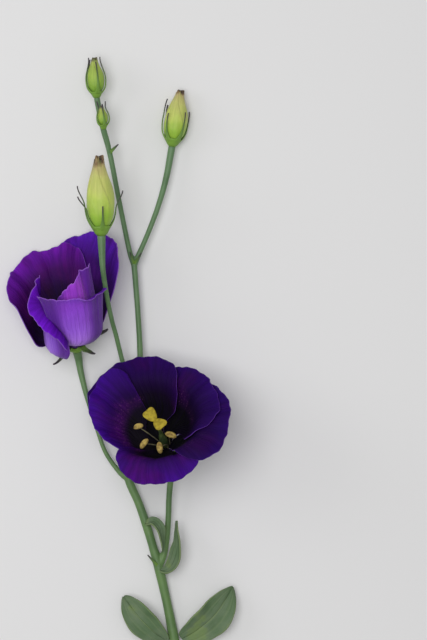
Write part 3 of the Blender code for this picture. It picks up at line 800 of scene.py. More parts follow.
@dataclass(frozen=True)
class SepalFinish(Finish):
    """A calyx: bright green at its cup, then green, with dark withered tips."""

    mottle_scale: float = 140.0
    stops: tuple[tuple[float, Colour], ...] = ()

    def paint(self, graph: Graph, mottle: Socket, grain: Socket) -> tuple[Socket, Socket]:
        """A ramp from cup to tip."""
        _, along, _ = graph.blade_place()
        return graph.frayed_ramp(along, mottle, 0.05, self.stops), grain


@dataclass(frozen=True)
class StemFinish(Finish):
    """The stem's skin: yellow green low down, bluer and darker towards its top, with slow patches."""

    mottle_scale: float = 70.0
    low: Colour = (0.2, 0.4, 0.1)
    high: Colour = (0.1, 0.2, 0.05)
    shade: Colour = (0.05, 0.1, 0.03)
    climb: Span = (-0.16, 0.12)  # where the low green ends and the high one is full, in metres along y

    def paint(self, graph: Graph, mottle: Socket, grain: Socket) -> tuple[Socket, Socket]:
        """The low green turning to the high one, with darker patches."""
        _, up, _ = graph.split(graph.object_place())
        colour = graph.mix(graph.span(up, *self.climb), self.low, self.high)
        return graph.mix(graph.span(mottle, 0.4, 0.7, (0.0, 0.6)), colour, self.shade), grain


@dataclass(frozen=True)
class LeafFinish(Finish):
    """A leaf's face: bluish green with wax, lime patches, long veins and a lighter midrib and margins."""

    relief: float = 0.0003
    mottle_scale: float = 90.0
    face: Colour = (0.1, 0.2, 0.1)
    bloom: Colour = (0.3, 0.4, 0.3)  # of the pale wax on it
    rib: Colour = (0.4, 0.5, 0.3)
    lime: Colour = (0.17, 0.26, 0.04)  # of scattered yellow-green patches
    vein_count: float = 4.0

    def paint(self, graph: Graph, mottle: Socket, grain: Socket) -> tuple[Socket, Socket]:
        """Lays the face with its wax, lime patches, veins, midrib and margins.

        Args:
            graph: the material's graph.
            mottle: a mask of slow patches.
            grain: the height of a fine grain.

        Returns:
            The colour and the relief's height.
        """
        lines, streaks, _, across, _ = graph.veins(self.vein_count, 0.03)
        colour = graph.mix(graph.span(mottle, 0.35, 0.7, (0.0, 0.7)), self.face, self.bloom)
        colour = graph.mix(graph.times(streaks, 0.25), colour, self.bloom)
        colour = graph.mix(graph.span(mottle, 0.56, 0.68, (0.0, 0.4)), colour, self.lime)
        colour = graph.mix(graph.times(lines, 0.16), colour, self.rib)
        side = graph.off_middle(across)
        rib = graph.span(side, 0.0, 0.03, (0.6, 0.0))
        margin = graph.span(side, 0.44, 0.48, (0.0, 0.6))
        height = graph.math("SUBTRACT", graph.times(grain, 0.4), graph.times(lines, 0.5))
        return graph.mix(graph.math("MAXIMUM", rib, margin), colour, self.rib), height


@dataclass(frozen=True)
class BudFinish(Finish):
    """A bud's rolled petals: green at the foot, yellow green, then a blushed tip, in spiral stripes."""

    relief: float = 0.0002
    mottle_scale: float = 160.0
    stops: tuple[tuple[float, Colour], ...] = ()
    line: Colour = (0.1, 0.2, 0.05)
    vein_count: float = 30.0

    def paint(self, graph: Graph, mottle: Socket, grain: Socket) -> tuple[Socket, Socket]:
        """Lays a ramp from foot to tip, with stripes and fine lines.

        Args:
            graph: the material's graph.
            mottle: a mask of slow patches.
            grain: the height of a fine grain.

        Returns:
            The colour and the relief's height.
        """
        lines, streaks, along, _, _ = graph.veins(self.vein_count, 0.02)
        colour = graph.frayed_ramp(along, mottle, 0.06, self.stops)
        colour = graph.mix(graph.times(streaks, 0.30), colour, self.line)
        colour = graph.mix(graph.times(lines, 0.08), colour, self.line)
        return colour, graph.plus(graph.times(streaks, 0.4), graph.times(grain, 0.4))


INDIGO_FACE = PetalFinish(
    name="indigo petal face", roughness=0.65, specular=0.06,
    stops=(
        (0.0, (0.006, 0.008, 0.003)), (0.42, (0.004, 0.004, 0.003)), (0.54, (0.008, 0.003, 0.012)),
        (0.7, (0.02, 0.002, 0.058)), (0.86, (0.034, 0.003, 0.118)), (1.0, (0.044, 0.004, 0.175)),
    ),
    patch=(0.06, 0.002, 0.092), patch_share=0.6,
    tints=(
        (0.5, 0.45, 0.66), (0.52, 0.45, 0.64), (1.15, 0.85, 1.6), (1.15, 0.8, 1.4), (0.46, 0.45, 0.66),
    ),
    # the shade values paint shade onto the petals' sides
    shade=(0.006, 0.001, 0.016), painted_shade_share=0.3, vein=(0.006, 0.001, 0.022), vein_share=0.22,
    streak_share=0.22, edge=(0.08, 0.02, 0.22), speck=(0.22, 0.07, 0.2), speck_share=0.3,
)
INDIGO_BACK = PetalFinish(
    name="indigo petal back", roughness=0.55, sheen=0.1, sheen_tint=(0.6, 0.4, 1.0), specular=0.2,
    stops=(
        (0.0, (0.4, 0.44, 0.26)), (0.1, (0.36, 0.3, 0.42)), (0.28, (0.16, 0.06, 0.42)),
        (0.6, (0.09, 0.02, 0.3)), (1.0, (0.06, 0.01, 0.24)),
    ),
    patch=(0.11, 0.01, 0.22), patch_share=0.5, vein=(0.04, 0.008, 0.14), vein_share=0.3, streak_share=0.3,
    edge=(0.16, 0.05, 0.4),
)
VIOLET_FACE = PetalFinish(
    name="violet petal face", roughness=0.65, specular=0.08,
    stops=(
        (0.0, (0.006, 0.008, 0.003)), (0.38, (0.004, 0.004, 0.003)), (0.56, (0.012, 0.002, 0.026)),
        (0.74, (0.044, 0.004, 0.12)), (0.88, (0.09, 0.007, 0.32)), (1.0, (0.14, 0.013, 0.5)),
    ),
    patch=(0.08, 0.004, 0.17), patch_share=0.6,
    tints=((1.0, 1.0, 1.0), (1.0, 1.0, 1.0), (0.85, 0.95, 1.05), (1.25, 0.85, 0.86), (1.6, 1.0, 1.6)),
    # the shade values paint shade onto the petals' sides
    shade=(0.015, 0.002, 0.04), painted_shade_share=0.4, vein=(0.02, 0.002, 0.08), vein_share=0.2,
    streak_share=0.35, edge=(0.2, 0.06, 0.5),
)
VIOLET_BACK = PetalFinish(
    name="violet petal back", roughness=0.5, sheen=0.15, sheen_tint=(0.75, 0.55, 1.0), specular=0.25,
    stops=(
        (0.0, (0.52, 0.56, 0.34)), (0.06, (0.58, 0.5, 0.66)), (0.2, (0.56, 0.3, 0.92)),
        (0.5, (0.44, 0.17, 0.92)), (0.8, (0.33, 0.08, 0.76)), (1.0, (0.2, 0.04, 0.56)),
    ),
    patch=(0.3, 0.05, 0.6), patch_share=0.5,
    tints=((1.02, 0.96, 1.05), (1.85, 1.45, 1.35), (1.0, 1.0, 1.0), (1.1, 1.0, 0.9), (0.6, 0.52, 0.74)),
    # the shade values paint heavy shade onto the sides of the petals' backs
    shade=(0.07, 0.01, 0.2), painted_shade_share=0.92, painted_shade_span=(0.08, 0.34), vein=(0.13, 0.02, 0.4),
    vein_share=0.12, streak_share=0.4, edge=(0.34, 0.13, 0.62),
)
STEM_SKIN = StemFinish(
    name="stem skin", roughness=0.45, specular=0.35, low=(0.12, 0.215, 0.068), high=(0.11, 0.205, 0.095),
    shade=(0.06, 0.125, 0.05),
)
SEPAL_SKIN = SepalFinish(
    name="sepal skin", roughness=0.5, specular=0.3,
    stops=(
        (0.0, (0.17, 0.32, 0.04)), (0.3, (0.14, 0.26, 0.05)), (0.62, (0.09, 0.15, 0.05)),
        (0.82, (0.06, 0.06, 0.05)), (1.0, (0.05, 0.035, 0.05)),
    ),
)
BUD_SKIN = BudFinish(
    name="bud skin", roughness=0.5, sheen=0.15, specular=0.3,
    stops=(
        (0.0, (0.19, 0.4, 0.03)), (0.22, (0.32, 0.52, 0.05)), (0.45, (0.5, 0.6, 0.12)),
        (0.75, (0.56, 0.55, 0.18)), (0.9, (0.46, 0.37, 0.16)), (0.97, (0.2, 0.11, 0.06)),
        (1.0, (0.09, 0.05, 0.04)),
    ),
    line=(0.2, 0.28, 0.04),
)
YOUNG_BUD_SKIN = BudFinish(
    name="young bud skin", roughness=0.5, sheen=0.1, specular=0.3,
    stops=(
        (0.0, (0.18, 0.36, 0.03)), (0.4, (0.31, 0.47, 0.06)), (0.9, (0.42, 0.5, 0.11)),
        (1.0, (0.12, 0.1, 0.06)),
    ),
    line=(0.1, 0.2, 0.03),
)
LEAF_SKIN = LeafFinish(
    name="leaf skin", roughness=0.6, specular=0.3, face=(0.075, 0.14, 0.058), bloom=(0.15, 0.2, 0.125),
    rib=(0.2, 0.27, 0.11),
)
STIGMA_SKIN = MottledFinish(
    name="stigma skin", roughness=0.75, light=(0.42, 0.33, 0.025), dark=(0.27, 0.2, 0.015),
    mottle_scale=500.0,
)
OVARY_SKIN = MottledFinish(
    name="ovary skin", roughness=0.4, light=(0.07, 0.1, 0.03), dark=(0.03, 0.05, 0.02),
    mottle_scale=300.0,
)
ANTHER_SKIN = MottledFinish(
    name="anther skin", roughness=0.85, light=(0.46, 0.34, 0.09), dark=(0.2, 0.13, 0.04),
    mottle_scale=600.0,
)
FILAMENT_SKIN = MottledFinish(
    name="filament skin", roughness=0.5, light=(0.2, 0.18, 0.1), dark=(0.1, 0.09, 0.06),
    mottle_scale=200.0,
)


# ---------------------------------------------------------------- blooms


@dataclass(frozen=True)
class Petal:
    """One petal of a bloom, placed by its direction round the bloom's axis from the side nearest +X."""

    azimuth: float
    spread: float  # half the angle round the axis that it covers
    length: float  # from root to rim
    skew: float = 0.0  # how much longer its anticlockwise side is, as a share
    square: float = 0.0  # from 0, a round rim, to 1, one that is as long at its sides as in its middle
    lip: float = 0.0  # how far its rim is rolled out beyond its wall's own curl
    lip_width: float = 1.0
    lip_from: float = 0.0  # where across it the lip starts, towards its anticlockwise side
    ruffle: float = 1.0  # its share of the bell's waves
    own: tuple[float, ...] = ()  # belly, waist, flare, curl and fold where they aren't the bell's


@dataclass(frozen=True)
class Bell:
    """A flower's form. Its petals lie on one bell, whose shape is given at five even directions."""

    name: str
    seat: Place  # the top of its stalk
    axis: Place  # the way its mouth faces
    petals: tuple[Petal, ...]
    first: float  # the first of the five directions, from which the petals spring
    belly: tuple[float, ...]  # how far the bell opens from the axis above the tube
    waist: float  # how far from the root the belly turns up into the wall
    flare: tuple[float, ...]  # how far the wall opens from the axis
    curl: tuple[float, ...]  # how much further the rim turns outwards
    fold: tuple[float, ...]  # how far from the root that turn is
    anthers: tuple[Place, ...]  # each anther's direction, how far it stands from the axis, and its height
    sepal: float  # length of a sepal
    face: PetalFinish
    back: PetalFinish
    lean: Span  # how far the stigma stands from the axis
    bend: Span = (5.0, 7.0)  # how far before and beyond the waist the wall's turn reaches
    ease: float = 4.5  # half the length that the rim's turn takes
    lip_ease: float = 3.5  # half the length that a lip's turn takes
    own_way: Span = (6.0, 20.0)  # where a petal leaves its even place on the tube and has its own
    overlap: float = 1.7  # how far a petal's edges stand in front of and behind its neighbours'
    ruffle: float = 1.1  # height of the waves at the rim
    calyx_floor: float = 1.4
    calyx_height: float = 4.2
    corolla_floor: float = 1.0
    root_radius: float = 3.45
    tube_slope: float = 10.0
    tube_length: float = 3.5

    @property
    def root_height(self) -> float:
        """Where the petals' measure starts, above the top of the stalk."""
        return self.calyx_floor + SEAT_GAP * 2 + self.corolla_floor

    @property
    def cup_floor(self) -> float:
        """The floor inside the corolla, where the pistil and stamens stand."""
        return self.calyx_floor + SEAT_GAP * 3 + self.corolla_floor

    def between(self, index: int) -> float:
        """The direction between two petals' roots, in radians."""
        return math.radians(self.first) + (index + 0.5) * math.tau / PETALS

    def matrix(self) -> Matrix:
        """Takes the upright flower to its place on the plant."""
        return upright_to(self.seat, self.axis)

    def form(self, values: Iterable[Array | float], distance: Array) -> tuple[Array, ...]:
        """Works out a wall and its rim's turn.

        Args:
            values: belly, waist, flare, curl and fold.
            distance: distance from the root.

        Returns:
            The wall's angle from the axis and the rim's further turn, in degrees.
        """
        belly, waist, flare, curl, fold = values
        wall = belly + (flare - belly) * blend(waist - self.bend[0], waist + self.bend[1], distance)
        wall = self.tube_slope + (wall - self.tube_slope) * blend(0.0, 2.0 * self.tube_length, distance)
        return wall, curl * blend(fold - self.ease, fold + self.ease, distance)

    def slope(self, azimuth: Array, distance: Array) -> tuple[Array, ...]:
        """The wall and the rim's turn of the bell itself.

        Args:
            azimuth: direction round the axis, in radians.
            distance: distance from the root.

        Returns:
            The wall's angle from the axis and the rim's further turn, in degrees.
        """
        uneven = (self.belly, self.flare, self.curl, self.fold)
        belly, flare, curl, fold = (around(values, azimuth, self.first) for values in uneven)
        return self.form((belly, self.waist, flare, curl, fold), distance)

    def petal_slope(self, petal: Petal, across: Array, azimuth: Array, rim: Array, distance: Array) -> Array:
        """The slope of one petal: the bell's, or the petal's own where it has one, with its lip.

        Args:
            petal: which petal.
            across: -1 to 1 from its clockwise edge to its anticlockwise one.
            azimuth: direction round the axis, in radians.
            rim: how far from the root its rim is.
            distance: distance from the root.

        Returns:
            The angle from the axis, in radians.
        """
        wall, curl = self.form(petal.own, distance) if petal.own else self.slope(azimuth, distance)
        lip = petal.lip * blend(petal.lip_from, petal.lip_from + 0.5, across)
        turn = rim - petal.lip_width
        return np.radians(wall + curl + lip * blend(turn - self.lip_ease, turn + self.lip_ease, distance))

    def petal_turn(self, petal: Petal, distance: Array) -> Array:
        """The direction of a petal, which springs from its even place on the tube and turns to its own.

        Args:
            petal: which petal.
            distance: distance from the root.

        Returns:
            The direction of its middle line, in degrees.
        """
        root = self.first + self.petals.index(petal) * 360.0 / PETALS
        turn = (petal.azimuth - root + 180.0) % 360.0 - 180.0
        return root + turn * blend(*self.own_way, distance)

    def on_profile(
        self, slope_at: Callable[[Array], Array], azimuth: Array, distance: Array, lift: Array,
        steps: int = 24,
    ) -> Array:
        """Points at a distance from the root along a profile of the given slope.

        Args:
            slope_at: the angle from the axis at a distance, in radians.
            azimuth: direction round the axis, in radians.
            distance: distance from the root.
            lift: how far the points stand out from the profile.
            steps: how many steps add up the profile.

        Returns:
            An array of points.
        """
        share = (np.arange(steps) + 0.5) / steps
        slopes = np.stack([slope_at(distance * step) for step in share])
        radius = self.root_radius + np.sin(slopes).mean(0) * distance
        height = self.root_height + np.cos(slopes).mean(0) * distance
        end = slope_at(distance)
        return round_axis(radius + lift * np.cos(end), azimuth, height - lift * np.sin(end))


@dataclass(frozen=True)
class Corolla:
    """Five overlapping petals on the short tube that they grow together in."""

    bell: Bell
    rows: int = 84
    columns: int = 60
    thickness: float = 0.42
    foot: float = 0.06  # the share of a petal's length that the tube stands for
    root_spread: float = 37.0  # half the angle that a petal covers at its root
    sides_back: float = 0.10  # by how much a round rim falls back to its sides, as a share of the length
    corners_back: float = 0.26  # by how much more its corners do
    notches: tuple[Place, ...] = ((0.40, 9.0, 1.0), (0.26, 23.0, 3.0), (0.17, 47.0, 5.0))  # in the rim
    folds: float = 11.0  # how often the rim's large waves come, per radian round the axis
    ripples: tuple[Place, ...] = ((0.35, 23.0, 1.0), (0.16, 41.0, 2.0))  # small waves round the axis
    crease_height: float = 0.35  # of the fold down a petal's middle
    crease_width: float = 0.07
    tube: tuple[Span, ...] = ((0.0, 0.0), (2.9, 0.0), (3.5, 0.8), (4.3, 3.4))  # its outline over its floor
    tube_sides: int = 48
    tube_seat: float = 0.3  # how far the tube's floor is above the calyx's, beyond the gaps

    def petal_points(self, petal: Petal, along: Array, across: Array) -> Array:
        """Points of one petal, with the fine waves and notches of its rim.

        Args:
            petal: which petal.
            along: 0 to 1 from its lowest row to its rim.
            across: -1 to 1 from its clockwise edge to its anticlockwise one.

        Returns:
            An array of points, upright, in millimetres.
        """
        bell = self.bell
        along = self.foot + (1.0 - self.foot) * along
        start = math.radians(petal.azimuth)
        round_off = self.sides_back * across**2 + self.corners_back * np.abs(across) ** 5
        rim = petal.length * (1.0 + petal.skew * across - round_off * (1.0 - petal.square))
        notches = waves(across, ((height, beats, turn * start) for height, beats, turn in self.notches))
        distance = along * (rim + notches * blend(0.7, 1.0, along))
        wider = petal.spread - self.root_spread
        reach = np.radians(self.root_spread + wider * blend(*bell.own_way, distance))
        azimuth = np.radians(bell.petal_turn(petal, distance)) + reach * across
        share = distance / petal.length
        lift = bell.overlap * across * blend(3.0, 11.0, distance)
        lift = lift + petal.ruffle * bell.ruffle * share**4 * np.sin(self.folds * azimuth)
        lift = lift + petal.ruffle * share**3 * waves(azimuth, self.ripples)
        crease = np.exp(-((across / self.crease_width) ** 2)) * blend(6.0, 16.0, distance)
        lift = lift + self.crease_height * (crease * (1.0 - 0.6 * share))
        slope_at = partial(bell.petal_slope, petal, across, azimuth, rim)
        return bell.on_profile(slope_at, azimuth, distance, lift)

    def build(self) -> None:
        """Makes the corolla and dresses it."""
        bell = self.bell
        mesh = bmesh.new()
        petals = [partial(self.petal_points, petal) for petal in bell.petals]
        add_blades(mesh, petals, self.rows, self.columns)
        self.face_outwards(mesh)
        floor = bell.calyx_floor + SEAT_GAP * 2 + self.tube_seat
        add_turned(mesh, raised(self.tube, floor), self.tube_sides)
        move(mesh, bell.matrix())
        names = (f"{bell.name}_petals", f"{bell.name}_corolla")
        thicken(place_piece(mesh, *names, Slot.PETAL, (bell.back, bell.face)), self.thickness, back=1)

    def face_outwards(self, mesh: Mesh) -> None:
        """Turns the petals' faces away from the axis.

        Args:
            mesh: the upright petals.
        """
        mesh.normal_update()
        middle = [face for face in mesh.faces if 4.0 < face.calc_center_median().z < 9.0]
        flat = Vector((1.0, 1.0, 0.0))
        if sum(face.normal.dot(face.calc_center_median() * flat) for face in middle) < 0.0:
            bmesh.ops.reverse_faces(mesh, faces=mesh.faces)


@dataclass(frozen=True)
class Calyx:
    """The green cup under a bloom's petals, with its five narrow sepals."""

    bell: Bell
    rows: int = 28
    columns: int = 8
    sides: int = 40
    thickness: float = 0.6
    stalk_radius: float = 2.2
    tube_wall: float = 0.45  # from the petals' root circle to the outside of the corolla's tube
    petal_wall: float = 0.8
    start: float = 1.5  # how far beyond the petals' root the sepals start
    half_width: float = 1.5
    tip: float = 0.2  # half the width of a sepal's tip
    stand: float = 1.2  # how far the sepals' roots stand out from the bell
    turn_out: float = 1.5  # how much further their tips do
    ridge: float = 0.4  # how far their middle stands above their edges

    def sepal_points(self, index: int, along: Array, across: Array) -> Array:
        """Points of one sepal, which hugs the bell and turns out at its tip.

        Args:
            index: which sepal.
            along: 0 to 1 from root to tip.
            across: -1 to 1 from edge to edge.

        Returns:
            An array of points, upright, in millimetres.
        """
        bell = self.bell
        clear = bell.overlap + self.petal_wall * 2 + SEAT_GAP
        distance = self.start + along * bell.sepal
        half_width = self.half_width * (1.0 - along) ** 0.8 + self.tip
        azimuth = bell.between(index) + across * half_width / (bell.root_radius + 0.4 * distance)
        lift = self.stand + (clear - self.stand) * blend(2.0, 9.0, distance)
        lift = lift + self.turn_out * blend(0.7, 1.0, along) + self.ridge * (1.0 - np.abs(across))
        return bell.on_profile(partial(self.slope_at, azimuth), azimuth, distance, lift)

    def slope_at(self, azimuth: Array, distance: Array) -> Array:
        """The slope of the bell's wall, in radians."""
        return np.radians(self.bell.slope(azimuth, distance)[0])

    def build(self) -> None:
        """Makes the calyx and dresses it."""
        bell = self.bell
        half = self.thickness / 2
        inner = bell.root_radius + self.tube_wall + SEAT_GAP + half
        floor = bell.calyx_floor + SEAT_GAP - half
        foot = [(0.0, 0.0), (self.stalk_radius, 0.0)]
        wall = [(inner - 0.8, floor), (inner, floor + 0.7), (inner + 0.35, bell.calyx_height)]
        mesh = bmesh.new()
        sepals = [partial(self.sepal_points, index) for index in range(PETALS)]
        add_blades(mesh, sepals, self.rows, self.columns)
        add_turned(mesh, foot + wall, self.sides)
        move(mesh, bell.matrix())
        name = f"{bell.name}_calyx"
        thicken(place_piece(mesh, f"{name}_leafy", name, Slot.GREEN, (SEPAL_SKIN,)), self.thickness)


@dataclass(frozen=True)
class Pistil:
    """A bloom's ovary, its style and the two fan-shaped lobes of its stigma."""

    bell: Bell
    ovary_radius: float = 2.3
    ovary: tuple[Span, ...] = ((0.9, 3.0), (1.0, 4.8), (0.97, 7.0), (0.78, 9.2), (0.5, 11.2))
    style_radius: float = 0.8
    style_top: float = 23.5
    lobe_length: float = 7.8
    lobe_width: float = 8.6
    lobe_height: float = 2.2
    lobes: tuple[Span, ...] = ((130.0, -24.0), (310.0, -4.0))  # each one's direction and tilt
    sides: int = 32

    def add_lobe(self, mesh: Mesh, turn: float, tilt: float) -> None:
        """Adds one lobe: a ball flattened and drawn out to a fan with a shallow notch.

        Args:
            mesh: the bmesh that gets it.
            turn: its direction round the axis.
            tilt: how far it is turned down.
        """
        verts = bmesh.ops.create_uvsphere(mesh, u_segments=36, v_segments=24, radius=1.0)["verts"]
        for vert in verts:
            x, y, z = vert.co
            out = (math.copysign(abs(x) ** 0.7, x) + 1.0) / 2.0
            side = math.copysign(abs(y) ** 0.8, y)
            notch = 0.05 * math.exp(-((y / 0.3) ** 2)) * out**3
            long = self.lobe_length * (out - notch)
            wide = self.lobe_width / 2 * side * (0.48 + 0.52 * out)
            vert.co = long, wide, self.lobe_height / 2 * z * (1.0 - 0.25 * out) + 0.7 * out * y * y
        foot = self.bell.cup_floor + self.style_top + 0.2
        around_axis = Matrix.Rotation(math.radians(turn), 4, "Z") @ Matrix.Translation((-0.3, 0.0, foot))
        move(mesh, around_axis @ Matrix.Rotation(math.radians(tilt), 4, "Y"), verts)

    def leaned(self) -> Matrix:
        """Leans the pistil over, so that its stigma stands where the bloom's does.

        Returns:
            The matrix, for the upright flower.
        """
        foot = Matrix.Translation((0.0, 0.0, self.bell.cup_floor))
        sheared = Matrix.Identity(4)
        for row, lean in enumerate(self.bell.lean):
            sheared[row][2] = lean / self.style_top
        return foot @ sheared @ foot.inverted()

    def build(self) -> None:
        """Makes the pistil and dresses it."""
        thin = self.style_radius
        foot = [(0.0, 0.0), (1.3, 0.0), (1.5, 1.2)]
        ovary = [(self.ovary_radius * share, up) for share, up in self.ovary]
        style = [(thin, 13.0), (thin, 18.0), (thin * 1.15, self.style_top), (0.0, self.style_top + 0.4)]
        mesh = bmesh.new()
        number_faces(add_turned(mesh, raised(foot + ovary + style, self.bell.cup_floor), self.sides), 1)
        for turn, tilt in self.lobes:
            self.add_lobe(mesh, turn, tilt)
        move(mesh, self.bell.matrix() @ self.leaned())
        name = f"{self.bell.name}_pistil"
        place_piece(mesh, f"{name}_soft", name, Slot.PISTIL, (STIGMA_SKIN, OVARY_SKIN))


@dataclass(frozen=True)
class Stamens:
    """A bloom's five thin filaments with their two-celled anthers."""

    bell: Bell
    ring_radius: float = 2.25
    filament_radius: float = 0.32
    anther_length: float = 6.4
    anther_width: float = 3.4
    tilt: float = 70.0
    sides: int = 10

    def add_anther(self, mesh: Mesh, top: Vector, outward: Vector) -> None:
        """Adds an anther: a long ball with a groove down its middle.

        Args:
            mesh: the bmesh that gets it.
            top: where its filament holds it.
            outward: the way that it leans.
        """
        verts = bmesh.ops.create_uvsphere(mesh, u_segments=20, v_segments=16, radius=1.0)["verts"]
        for vert in verts:
            x, y, z = vert.co
            groove = 1.0 - 0.35 * math.exp(-((y / 0.28) ** 2)) * (1.0 if x > 0.0 else 0.4)
            bend = 0.35 * z * z
            deep = self.anther_width * 0.38 * (x * groove - bend)
            vert.co = deep, self.anther_width / 2 * y, self.anther_length / 2 * z
        tilt = Matrix.Rotation(math.radians(self.tilt), 4, outward.cross(Vector((0.0, 0.0, 1.0))))
        face = Matrix.Rotation(math.atan2(outward.y, outward.x), 4, "Z")
        move(mesh, Matrix.Translation(top) @ tilt @ face, verts)

    def build(self) -> None:
        """Makes the stamens and dresses them."""
        mesh = bmesh.new()
        for index, (direction, reach, height) in enumerate(self.bell.anthers):
            spring = polar(self.bell.between(index))
            outward = polar(math.radians(direction))
            stops = (
                (spring, self.ring_radius, 0.1),
                (spring, self.ring_radius + 1.4, 6.0),
                (outward, reach, height),
            )
            foot = self.bell.cup_floor
            knots = [way * out + Vector((0.0, 0.0, foot + up)) for way, out, up in stops]
            route = smooth_route(knots, 1.0)
            number_faces(add_tube(mesh, route, [self.filament_radius] * len(route), self.sides), 1)
            self.add_anther(mesh, knots[-1], outward)
        move(mesh, self.bell.matrix())
        name = f"{self.bell.name}_stamens"
        place_piece(mesh, f"{name}_soft", name, Slot.ANTHER, (ANTHER_SKIN, FILAMENT_SKIN))


FRONT_BLOOM = Bell(
    name="front_bloom", seat=(-4.6, 117.3, 20.0), axis=(-0.27, 0.57, 0.777),
    petals=(
        Petal(azimuth=35.0, spread=61.0, length=45.0),
        Petal(azimuth=111.0, spread=58.0, length=50.0, skew=0.06),
        Petal(azimuth=164.0, spread=50.0, length=43.0, skew=-0.34),
        Petal(azimuth=272.0, spread=65.0, length=43.0, skew=0.09),
        Petal(azimuth=352.0, spread=51.0, length=49.0),
    ),
    first=53.0, belly=(62.0, 62.0, 62.0, 62.0, 62.0), waist=12.0, flare=(36.0, 44.0, 42.0, 32.0, 42.0),
    curl=(45.0, 30.0, 40.0, 95.0, 55.0), fold=(34.0, 38.0, 34.0, 30.0, 34.0),
    anthers=(
        (95.0, 6.0, 13.0), (168.0, 10.0, 19.5), (219.0, 10.0, 15.0), (272.0, 9.0, 13.0),
        (340.0, 7.0, 13.5),
    ),
    sepal=19.0, face=INDIGO_FACE, back=INDIGO_BACK, lean=(1.0, 1.1),
)
SIDE_BLOOM = Bell(
    name="side_bloom", seat=(-53.6, 170.1, 9.0), axis=(-0.14, 0.84, 0.52),
    petals=(
        Petal(
            azimuth=286.0, spread=51.0, length=48.8, square=1.1, ruffle=0.3, lip=70.0, lip_width=3.0,
            own=(64.0, 15.0, 10.0, 20.0, 47.0),
        ),
        Petal(
            azimuth=292.0, spread=53.0, length=51.0, skew=0.21, square=0.7,
            own=(60.0, 14.0, 0.0, 0.0, 60.0),
        ),
        Petal(azimuth=58.0, spread=51.0, length=61.0),
        Petal(azimuth=124.0, spread=66.0, length=54.5, skew=-0.05, ruffle=1.9),
        Petal(
            azimuth=229.0, spread=38.0, length=51.0, skew=-0.22, square=0.8, lip=105.0, lip_width=8.5,
            lip_from=-0.6, own=(100.0, 14.0, -5.0, 0.0, 60.0),
        ),
    ),
    first=270.0, belly=(80.0, 78.0, 50.0, 55.0, 100.0), waist=15.0, flare=(12.0, 24.0, 26.0, 27.0, 14.0),
    curl=(75.0, 30.0, 20.0, 35.0, 25.0), fold=(45.0, 52.0, 50.0, 43.0, 44.0), ruffle=1.0,
    anthers=(
        (270.0, 7.0, 13.0), (342.0, 6.0, 14.0), (54.0, 7.0, 12.5), (126.0, 6.5, 13.5), (198.0, 7.5, 13.0),
    ),
    sepal=14.0, face=VIOLET_FACE, back=VIOLET_BACK, lean=(0.0, -2.0),
)


# ---------------------------------------------------------------- buds


